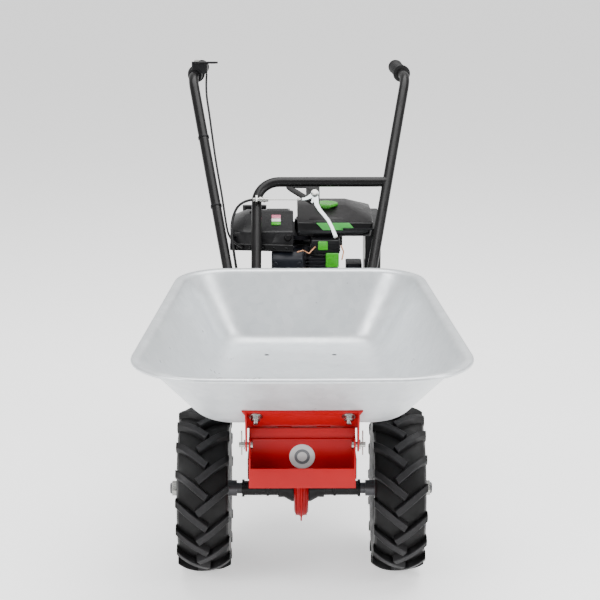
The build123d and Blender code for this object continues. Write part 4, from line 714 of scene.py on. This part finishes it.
def bin_columns():
    """Rings of points from the middle of the floor, up the wall and round the rolled rim."""
    floor, top = bin_ring(0, 0), bin_ring(1, 0)
    rings = []
    for inset in (120, 90, 60, 42):
        rings.append([(p.x, p.y, FLOOR_Z) for p in bin_ring(0, inset)])
    inner = bin_ring(0, 26)
    for step in range(0, 7):
        t = step / 6
        ring = []
        for start, corner, above in zip(inner, floor, top):
            wall = corner.lerp(above, 0.16)
            flat = start * (1 - t) ** 2 + corner * 2 * t * (1 - t) + wall * t * t
            rise = (rim_height(above.y) - FLOOR_Z) * 0.16 * t * t
            ring.append((flat.x, flat.y, FLOOR_Z + rise))
        rings.append(ring)
    for share in (0.30, 0.45, 0.60, 0.75, 0.87, LIP_SHARE):
        rings.append([
            (*c.lerp(a, share), FLOOR_Z + (rim_height(a.y) - FLOOR_Z) * share) for c, a in zip(floor, top)
        ])
    outward = bin_ring(1, -7)
    for step in range(1, 6):
        t = step / 5
        ring = []
        for corner, above, out in zip(floor, top, outward):
            below = corner.lerp(above, LIP_SHARE)
            flat = below * (1 - t) ** 2 + above * 2 * t * (1 - t) + out * t * t
            low = FLOOR_Z + (rim_height(above.y) - FLOOR_Z) * LIP_SHARE
            height = low * (1 - t) ** 2 + rim_height(above.y) * (1 - (1 - t) ** 2)
            ring.append((flat.x, flat.y, height))
        rings.append(ring)
    bead_r, edge = 4.4, 18.3
    for degrees in range(0, 331, 30):
        angle = math.radians(90 - degrees)
        out = bin_ring(1, -(edge - bead_r + bead_r * math.cos(angle)))
        rings.append([
            (p.x, p.y, rim_height(p.y) - bead_r + bead_r * math.sin(angle)) for p in out
        ])
    return rings


def make_bin():
    """One skin through all the rings, given the sheet's thickness."""
    bit = bmesh.new()
    rows = [[bit.verts.new(at(*place)) for place in ring] for ring in bin_columns()]
    count = len(rows[0])
    for near, far in zip(rows, rows[1:]):
        for number in range(count):
            after = (number + 1) % count
            bit.faces.new((near[number], far[number], far[after], near[after]))
    bit.faces.new(rows[0])
    bmesh.ops.recalc_face_normals(bit, faces=bit.faces)
    bit.normal_update()
    # The middle of the floor looks up, so the sheet's thickness goes to the outside.
    middle = max((face for face in bit.faces), key=lambda face: len(face.verts))
    if middle.normal.z < 0:
        bmesh.ops.reverse_faces(bit, faces=bit.faces)
    bmesh.ops.triangulate(bit, faces=[middle])
    mesh = bpy.data.meshes.new("bin_pan")
    bit.to_mesh(mesh)
    bit.free()
    pan = add_object("bin_pan", mesh, [GALVANISED], smooth=False)
    for face in mesh.polygons:
        face.use_smooth = True
    wall = pan.modifiers.new("sheet", "SOLIDIFY")
    wall.thickness = 1.3 * MM
    wall.offset = -1
    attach(pan, "tipping_bin")
    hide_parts("bin")


make_bin()


# ---------------------------------------------------------------- grips and hand controls
GRIP_END = (228, 882, 902)            # the outer end of the right grip
TUBE_TOP_Z = 898                      # where a side tube bends back into its grip
TUBE_RISE = TUBE_TOP_Z - LEAN_FOOT[1]


def make_grips():
    """Moulded grips: a guard ring, shallow rings to hold and a domed end."""
    for side, word in ((-1, "left"), (1, "right")):
        end = Vector((side * GRIP_END[0], *GRIP_END[1:]))
        top = Vector((side * (157 + 0.2274 * TUBE_RISE), LEAN_FOOT[0] + 0.8 * TUBE_RISE, TUBE_TOP_Z))
        back = (top - end).normalized()
        profile = [(0, 2), (0.6, 9), (2, 14), (4.5, 16.6), (7, 16.8), (9, 15.2)]
        for ridge in range(17):
            start = 12 + ridge * 5.6
            swell = 1.1 * math.sin(math.pi * ridge / 16)
            for step, radius in ((0, 14.2), (1.2, 15.2), (3.2, 15.2), (4.4, 14.2)):
                profile.append((start + step, radius + swell))
        profile += [(108, 14.6), (112, 15.5), (114.5, 18.8), (116.5, 19.8), (119, 19.6), (119.8, 17)]
        profile.append((120, 11.2))
        grip = Shape()
        grip.lathe(profile, end, back, 56)
        grip.done(word + "_grip", [SOFT_RUBBER], "chassis", ["grips"] if side < 0 else ())


make_grips()


def smooth_cable(name, points, radius, body, finish, nodes=()):
    """Cable on one smooth curve through its route's points."""
    curve = bpy.data.curves.new(name, "CURVE")
    curve.dimensions = "3D"
    curve.bevel_depth = radius * MM
    curve.bevel_resolution = 4
    curve.resolution_u = 12
    curve.use_fill_caps = True
    spline = curve.splines.new("NURBS")
    spline.points.add(len(points) - 1)
    for control, place in zip(spline.points, points):
        control.co = (*at(*place), 1)
    spline.order_u = 3
    spline.use_endpoint_u = True
    temporary = linked(name + "_route", curve)
    evaluated = temporary.evaluated_get(bpy.context.evaluated_depsgraph_get())
    mesh = bpy.data.meshes.new_from_object(evaluated)
    bpy.data.objects.remove(temporary)
    mesh.materials.clear()
    piece = add_object(name, mesh, [finish])
    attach(piece, body)
    if nodes:
        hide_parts(*nodes)


WIRE_Y, WIRE_Z = 484.5, 658           # the drive wire's straight line from the adjuster to the lever

smooth_cable(
    "drive_cable_outer",
    [
        (-103.4, WIRE_Y, WIRE_Z), (-130.5, 481.5, 655), (-149, 462.5, 620), (-148, 428, 585),
        (-138, 406, 524), (-128, 396, 458), (-125, 395, 394), (-124, 396, 332.4),
    ],
    2.9, "chassis", SOFT_RUBBER, ["drive_cable"],
)
smooth_cable(
    "throttle_cable_outer",
    [
        (-212, 746.4, 901.1), (-214, 726.4, 867), (-203, 655, 822), (-195.1, 620.6, 774), (-185, 566, 722),
        (-171, 512, 662), (-163, 474, 618), (-156, 452, 584), (-138, 443, 566), (-126, 455, 558),
    ],
    2.4, "chassis", SOFT_RUBBER, ["throttle_cable"],
)


def make_lever_wire():
    """Bare wire from the adjuster to the lever's nose, with a sleeve at its far end."""
    wire = Shape()
    start, end = Vector((-100.5, WIRE_Y, WIRE_Z)), Vector((2.7, WIRE_Y, WIRE_Z))
    steps = 16
    for number in range(steps):
        near, far = start.lerp(end, number / steps), start.lerp(end, (number + 1) / steps)
        wire.lathe([(0, 1.1), ((far - near).length, 1.1)], near, far - near, 10)
    wire.lathe([(0, 0.5), (0.4, 2.5), (6, 2.5), (6.4, 1)], end - Vector((6.4, 0, 0)), (1, 0, 0), 20)
    piece = add_object("lever_wire", wire.as_mesh("lever_wire"), [ZINC])
    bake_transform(piece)


make_lever_wire()


# ---------------------------------------------------------------- engine covers
def make_left_shroud():
    """Fan cover: a low faceted dome over a glossy skirt, with a row of louvres and a plain label."""
    low, high = node_box("left_shroud")
    left, right = low.x + 1, high.x - 2
    cover = Shape()
    cover.hull(
        [
            (left, 474, 562), (right, 456, 562), (left, high.y - 8, 562), (right, high.y - 4, 562),
            (left, 500, 588), (left, 690, 584), (right, 470, 590), (left + 30, 478, 588),
            (left + 34, 545, 613), (left + 34, 640, 606), (left + 72, 552, high.z - 1),
            (right, 552, high.z - 1), (right, 700, 592), (left + 72, 700, 588),
        ],
        3, 3,
    )
    cover.hull(
        [
            (left + 40, 556, high.z - 3), (right - 6, 556, high.z - 3), (right - 6, 690, 597),
            (left + 40, 690, 594), (left + 46, 562, high.z), (right - 12, 562, high.z),
            (right - 12, 680, 600), (left + 46, 680, 597),
        ],
        1.5, 2,
    )
    cover.slab([(-150, 479, 576), (-118, 476, 578), (-118, 480, 586), (-148, 488, 585)], 1.2)
    cover.slab([(-60, 464, 566), (-18, 458, 566), (-18, 466, 583), (-52, 470, 583)], 1.4)
    cover.finish_number = 1
    cover.hull(
        [
            (left - 0.5, 468, low.z), (right, low.y, low.z), (left - 0.5, high.y, low.z),
            (right, high.y, low.z), (left - 0.5, 470, 563), (right, 453, 563),
            (left - 0.5, high.y - 4, 563), (right, high.y - 2, 563),
        ],
        2.5, 3,
    )
    cover.lathe([(0, 9), (5, 9), (9, 8), (13, 6), (14, 2)], (high.x - 14, 470, 574), (0, -0.8, 0.3), 32)
    for number in range(5):
        cover.lathe(
            [(0, 3.8), (1.4, 3.8), (2.0, 2.6)],
            (-136 + number * 27, 466.5 - number * 3.2, low.z + 7.5), (-0.1, -1, 0), 6,
        )
    cover.done("fan_cover", [BLACK_PLASTIC, GLOSS_BLACK], "chassis", ["left_shroud"])
    seed = Shape()
    seed.box((-74, 574, 611.5), (-26, 578, 618.6), 1.0, 2)
    louvres = copied(
        "fan_cover_louvres", seed.as_mesh("louvre"), ROW,
        {"Count": 11, "Spacing": (0.0, 0.010, -0.0018), "Finish": GLOSS_BLACK}, "chassis",
    )
    label = Shape()
    for number, (near, far) in enumerate(((0.64, 0.80), (0.48, 0.62), (0.32, 0.46))):
        label.finish_number = number
        corners = []
        for x, share in ((-62, near), (-42, near), (-42, far), (-62, far)):
            corners.append((x, 470 + 82 * share, 590.6 + 28.5 * share))
        label.slab(corners, 0.5, 0.2)
    label.done("plain_label", [LABEL_PINK, LABEL_WHITE, GREEN_PLASTIC], "chassis", ())


def make_tank():
    """Fuel tank under a faceted canopy, with a glossy apron and a green level window in front."""
    low, high = node_box("fuel_tank")
    left, right = low.x + 1, high.x - 1
    tank = Shape()
    tank.finish_number = 1
    tank.hull(
        [
            (left, 494, low.z + 5), (right, 494, low.z + 6), (left, 490, low.z + 10),
            (right - 4, 490, low.z + 11), (left, 556, high.z), (left + 108, 556, high.z),
            (right, 560, low.z + 14), (left, 640, high.z - 1), (left + 108, 640, high.z - 1),
            (right, 640, low.z + 12), (left, high.y - 2, low.z + 8),
            (left + 108, high.y - 2, low.z + 8), (right, high.y - 12, low.z + 4), (left, high.y, low.z + 1),
            (right, high.y - 8, low.z + 1), (left, 500, low.z + 1), (right, 500, low.z + 1),
        ],
        3, 3,
    )
    tank.slab(
        [(20, 500, low.z + 13.5), (96, 500, low.z + 13.5), (90, 530, low.z + 24), (30, 530, low.z + 24)], 1.0
    )
    tank.finish_number = 0
    tank.hull(
        [
            (left, 483, 576), (right - 6, 483, 576), (left, 486, 607), (right, 486, 606), (left, 514, 607),
            (right, 514, 606), (left + 4, 508, 578), (right - 8, 508, 578), (left + 8, 480.5, 590),
            (right - 8, 480.5, 590),
        ],
        3, 3,
    )
    tank.finish_number = 2
    tank.slab([(36, 484.6, 606), (109, 484.6, 606), (123, 480.0, 590.5), (51, 480.0, 590.5)], 1.8, 0.8)
    tank.done(
        "fuel_tank_and_canopy", [GLOSS_BLACK, GREY_MOULDING, GREEN_WINDOW], "chassis", ["fuel_tank"],
    )


def make_fuel_cap():
    """Screw cap with finger ribs."""
    low, high = node_box("fuel_cap")
    middle = (low + high) / 2
    cap = Shape()
    cap.lathe(
        [
            (0, 17), (11, 17), (11.1, 24), (12, 25.6), (15.5, 25.6), (16.8, 24), (17.2, 20), (16.6, 17),
            (16.9, 3),
        ],
        (middle.x, middle.y, low.z), (0, 0, 1), 64,
    )
    ribs = 20
    for number in range(ribs):
        angle = 2 * math.pi * number / ribs
        out = Vector((math.cos(angle), math.sin(angle), 0)) * 25.2
        place = (middle.x + out.x * 0.985, middle.y + out.y * 0.985, low.z + 11.5)
        cap.lathe([(0, 1.0), (4.5, 1.0)], place, (0, 0, 1), 8)
    cap.done("fuel_cap_ribbed", [GREEN_PLASTIC], "fuel_cap_body", ["fuel_cap"])


def make_front_of_engine():
    """Finned cylinder head, exhaust box, air box and the small rods between them."""
    low, high = node_box("cylinder")
    head = Shape()
    head.box((low.x + 6, low.y + 6, low.z + 4), (high.x - 6, high.y, high.z - 4), 6, 3)
    head.lathe([(0, 26), (30, 26), (36, 20), (44, 18)], (42, 500, 488), (0, -1, 0), 40)
    head.done("cylinder_head", [ALUMINIUM], "chassis", ["cylinder"])
    seed = Shape()
    seed.box((low.x, low.y, low.z + 4), (high.x, high.y - 4, low.z + 6.4), 0.9, 2)
    fins = copied(
        "cylinder_fins", seed.as_mesh("fin"), ROW,
        {"Count": 12, "Spacing": (0.0, 0.0, 0.0078), "Finish": ALUMINIUM}, "chassis",
    )

    low, high = node_box("muffler")
    box = Shape()
    box.prism(
        [
            (low.y + 8, low.z), (low.y, low.z + 10), (low.y, high.z - 16), (low.y + 14, high.z),
            (high.y, high.z), (high.y, low.z),
        ],
        (low.x, high.x), 4, 3,
    )
    box.prism(
        [
            (low.y - 0.5, low.z + 34), (low.y - 2.5, low.z + 36), (low.y - 2.5, low.z + 40),
            (low.y - 0.5, low.z + 42),
        ],
        (low.x + 4, high.x - 4), 0.6, 1,
    )
    for x in (low.x + 9, high.x - 9):
        for z in (low.z + 14, high.z - 24):
            box.lathe([(0, 5), (2.2, 5), (3.4, 3.6)], (x, low.y + 0.5, z), (0, -1, 0), 6)
    box.done("exhaust_box", [MUFFLER_BLUE], "chassis", ["muffler"])

    low, high = node_box("air_filter_box")
    air = Shape()
    air.box((24, low.y + 4, 542), (88, 506, 574), 5, 3)
    for height in (549, 556, 563):
        air.box((23, low.y + 3.4, height), (89, 507, height + 2.4), 0.8, 2)
    air.box((28, 486, 573), (84, 508, 591), 3, 2)
    air.finish_number = 1
    air.box((40, low.y + 0.6, 552), (61, low.y + 8, 571), 2.2, 3)
    air.box((57, low.y + 1, 513), (86, low.y + 7, 545), 3, 3)
    air.box((62, low.y, 521), (81, low.y + 4, 537), 1.5, 2)
    air.finish_number = 2
    air.rod([(34, 452, 560), (20, 450, 545), (8, 449, 552), (-6, 450, 548)], 1.4)
    air.rod([(90, 456, 562), (96, 454, 548), (92, 452, 530)], 1.6)
    air.done(
        "air_box", [BLACK_PLASTIC, GREEN_PLASTIC, COPPER], "chassis", ["air_filter_box"]
    )


make_left_shroud()
make_tank()
make_fuel_cap()
make_front_of_engine()


def make_gearbox():
    """Cast gearbox: rounded round case with a parting flange and the worm's upright barrel behind it."""
    low, high = node_box("gearbox_left_half")
    half, centre_z = -low.x, AXLE.z / MM
    side = [(half - 0.2, 20), (half - 0.2, 44), (half - 1.2, 48.5), (half - 4, 52.4), (8, 54.4), (4.4, 54.8)]
    side += [(2.6, 56), (1.7, 58.5), (1.7, 65.2), (1.0, 65.9)]
    case = Shape()
    case.lathe(
        [(-x, r) for x, r in side] + [(x, r) for x, r in side[::-1]], (0, 0, centre_z), (1, 0, 0), 96
    )
    for x in (-10.4, -4.8, 4.8, 10.4):
        case.lathe([(-0.9, 54), (-0.5, 55), (0.5, 55), (0.9, 54)], (x, 0, centre_z), (1, 0, 0), 96)
    barrel_y, barrel_r = 50.5, half - 0.2
    length = high.z - low.z
    case.lathe(
        [(0, barrel_r - 5), (1.5, barrel_r - 1.5), (5, barrel_r), (length * 0.7, barrel_r)],
        (0, barrel_y, 115.2), (0, 0, 1), 56,
    )
    case.lathe(
        [(0, barrel_r), (38, barrel_r), (40.5, barrel_r - 1.5), (41, 7)], (0, barrel_y, 198.6), (0, 0, 1), 56
    )
    case.box((-1.7, barrel_y - 23, 116), (1.7, barrel_y + 23, 239), 0.6, 2)
    case.done(
        "gearbox_casing", [PAINT_RED], "chassis", ["gearbox_left_half", "gearbox_right_half"]
    )


def make_drive_lever():
    """Polished hand lever: a slim curved blade with a nose for the wire and a round boss."""
    lever = Shape()
    centre = [
        (33, 170.3), (35, 157), (37, 143), (44, 129), (53, 117), (62, 104), (69, 89), (74, 75), (78, 63),
    ]
    lever.ribbon(centre, [15, 13, 11, 9.5, 9, 8.6, 8.4, 9, 10], (14.2, 18.8), 1.4)
    lever.ribbon([(4.5, 156), (12, 157), (22, 162), (33, 170.3)], [7, 7.5, 10, 14], (14.4, 18.6), 1.2)
    lever.ribbon([(26, 147), (31, 157), (33, 169)], [5, 9, 14], (14.6, 18.4), 1.0)
    boss = on_handlebar(*centre[0], 13.9)
    lever.lathe([(0, 8.6), (0.4, 9), (4.8, 9), (5.2, 8.4)], boss, (0, -LEAN[1], LEAN[0]), 40)
    lever.done("drive_lever_blade", [POLISHED], "drive_lever_body", ["drive_lever"])


make_gearbox()
make_drive_lever()


# ---------------------------------------------------------------- emblem
def make_emblem():
    """Plain white disc with a plain raised grey ring."""
    low, high = node_box("emblem")
    middle = (low + high) / 2
    radius = (high.x - low.x) / 2
    start = (middle.x, high.y, middle.z)
    badge = Shape()
    badge.lathe(
        [(0, radius), (0.5, radius), (1.0, radius - 0.8), (1.1, radius - 3)], start, (0, -1, 0), 72
    )
    badge.finish_number = 1
    badge.lathe([(1.0, radius * 0.62), (1.18, radius * 0.60), (1.18, radius * 0.02)], start, (0, -1, 0), 72)
    badge.finish_number = 0
    badge.lathe([(1.1, radius * 0.40), (1.2, radius * 0.38), (1.2, radius * 0.02)], start, (0, -1, 0), 48)
    badge.done("plain_emblem", [EMBLEM_WHITE, EMBLEM_GREY], "chassis", ["emblem"])


make_emblem()


# ---------------------------------------------------------------- the rest of the CAD nodes
for node, bevel in (
    ("front_box", 0.9), ("tip_bracket", 0.9), ("lever_bracket", 0.8), ("engine_plate", 1.0),
    ("crossbars", 1.0), ("axle_hangers", 1.2), ("axle_flanges", 0.8), ("crankcase", 2.0),
    ("starter_handle", 1.5), ("throttle_lever", 1.0),
    ("bin_saddle", 1.0), ("rubber_pads", 1.0), ("hubs", 1.0), ("carburettor", 1.5), ("fan_plate", 1.0),
    ("tube_clamps", 0.7), ("cable_adjuster", 0.4), ("bin_front_bolts", 0.6), ("wheel_fasteners", 0.5),
    ("frame_bolts", 0.5), ("pivot_bolts", 0.5),
):
    softened(node, bevel)

for node, piece in frame["nodes"].items():
    finish = SLOT_OF[NODE_SLOT[node]]
    if not piece.material_slots:
        piece.data.materials.append(finish)
    for slot in piece.material_slots:
        slot.material = finish


# ---------------------------------------------------------------- floor, lights and camera
def make_stage():
    """Wide pale floor that glows a little, so it stays pale far from the lights."""
    mesh = bpy.data.meshes.new("floor")
    size = 60
    mesh.from_pydata(
        [(-size, -size, 0), (size, -size, 0), (size, size, 0), (-size, size, 0)], [], [(0, 1, 2, 3)]
    )
    floor = linked("floor", mesh)
    finish = Finish("pale floor", (0.93, 0.93, 0.93), 0.7)
    finish.shader.inputs["Emission Color"].default_value = (1, 1, 1, 1)
    finish.shader.inputs["Emission Strength"].default_value = 0.7
    mesh.materials.append(finish.material)


def area_light(name, place, aim, size, power):
    """Rectangular soft light at a place in metres, turned to its aim."""
    light = bpy.data.lights.new(name, "AREA")
    light.shape = "RECTANGLE"
    light.size, light.size_y = size
    light.energy = power
    lamp = linked(name, light)
    lamp.location = place
    lamp.rotation_euler = (Vector(aim) - Vector(place)).to_track_quat("-Z", "Y").to_euler()


def make_lights():
    """Even light all round, a large soft light above and one on each side in front."""
    world = bpy.data.worlds.new("soft studio")
    world.use_nodes = True
    world.node_tree.nodes["Background"].inputs["Color"].default_value = (1, 1, 1, 1)
    world.node_tree.nodes["Background"].inputs["Strength"].default_value = 0.75
    bpy.context.scene.world = world
    area_light("overhead", (0.3, 0.2, 3.2), (0, 0, 0.4), (3.0, 3.0), 170)
    area_light("left_soft", (-2.6, -2.2, 2.0), (0, 0, 0.5), (1.6, 2.2), 95)
    area_light("right_soft", (2.8, -1.4, 1.8), (0, 0, 0.5), (1.2, 2.0), 60)


CAMERA_PLACE = (-23, -3500, 1425)
CAMERA_LENS = 111
CAMERA_DOWN, CAMERA_ASIDE = 14, -0.34      # degrees


def make_camera():
    """Long lens straight in front, looking slightly down into the bin."""
    data = bpy.data.cameras.new("camera")
    camera = linked("camera", data)
    data.sensor_width = 36
    data.lens = CAMERA_LENS
    camera.location = at(*CAMERA_PLACE)
    camera.rotation_euler = (math.radians(90 - CAMERA_DOWN), 0, math.radians(CAMERA_ASIDE))
    bpy.context.scene.camera = camera


make_stage()
make_lights()
make_camera()
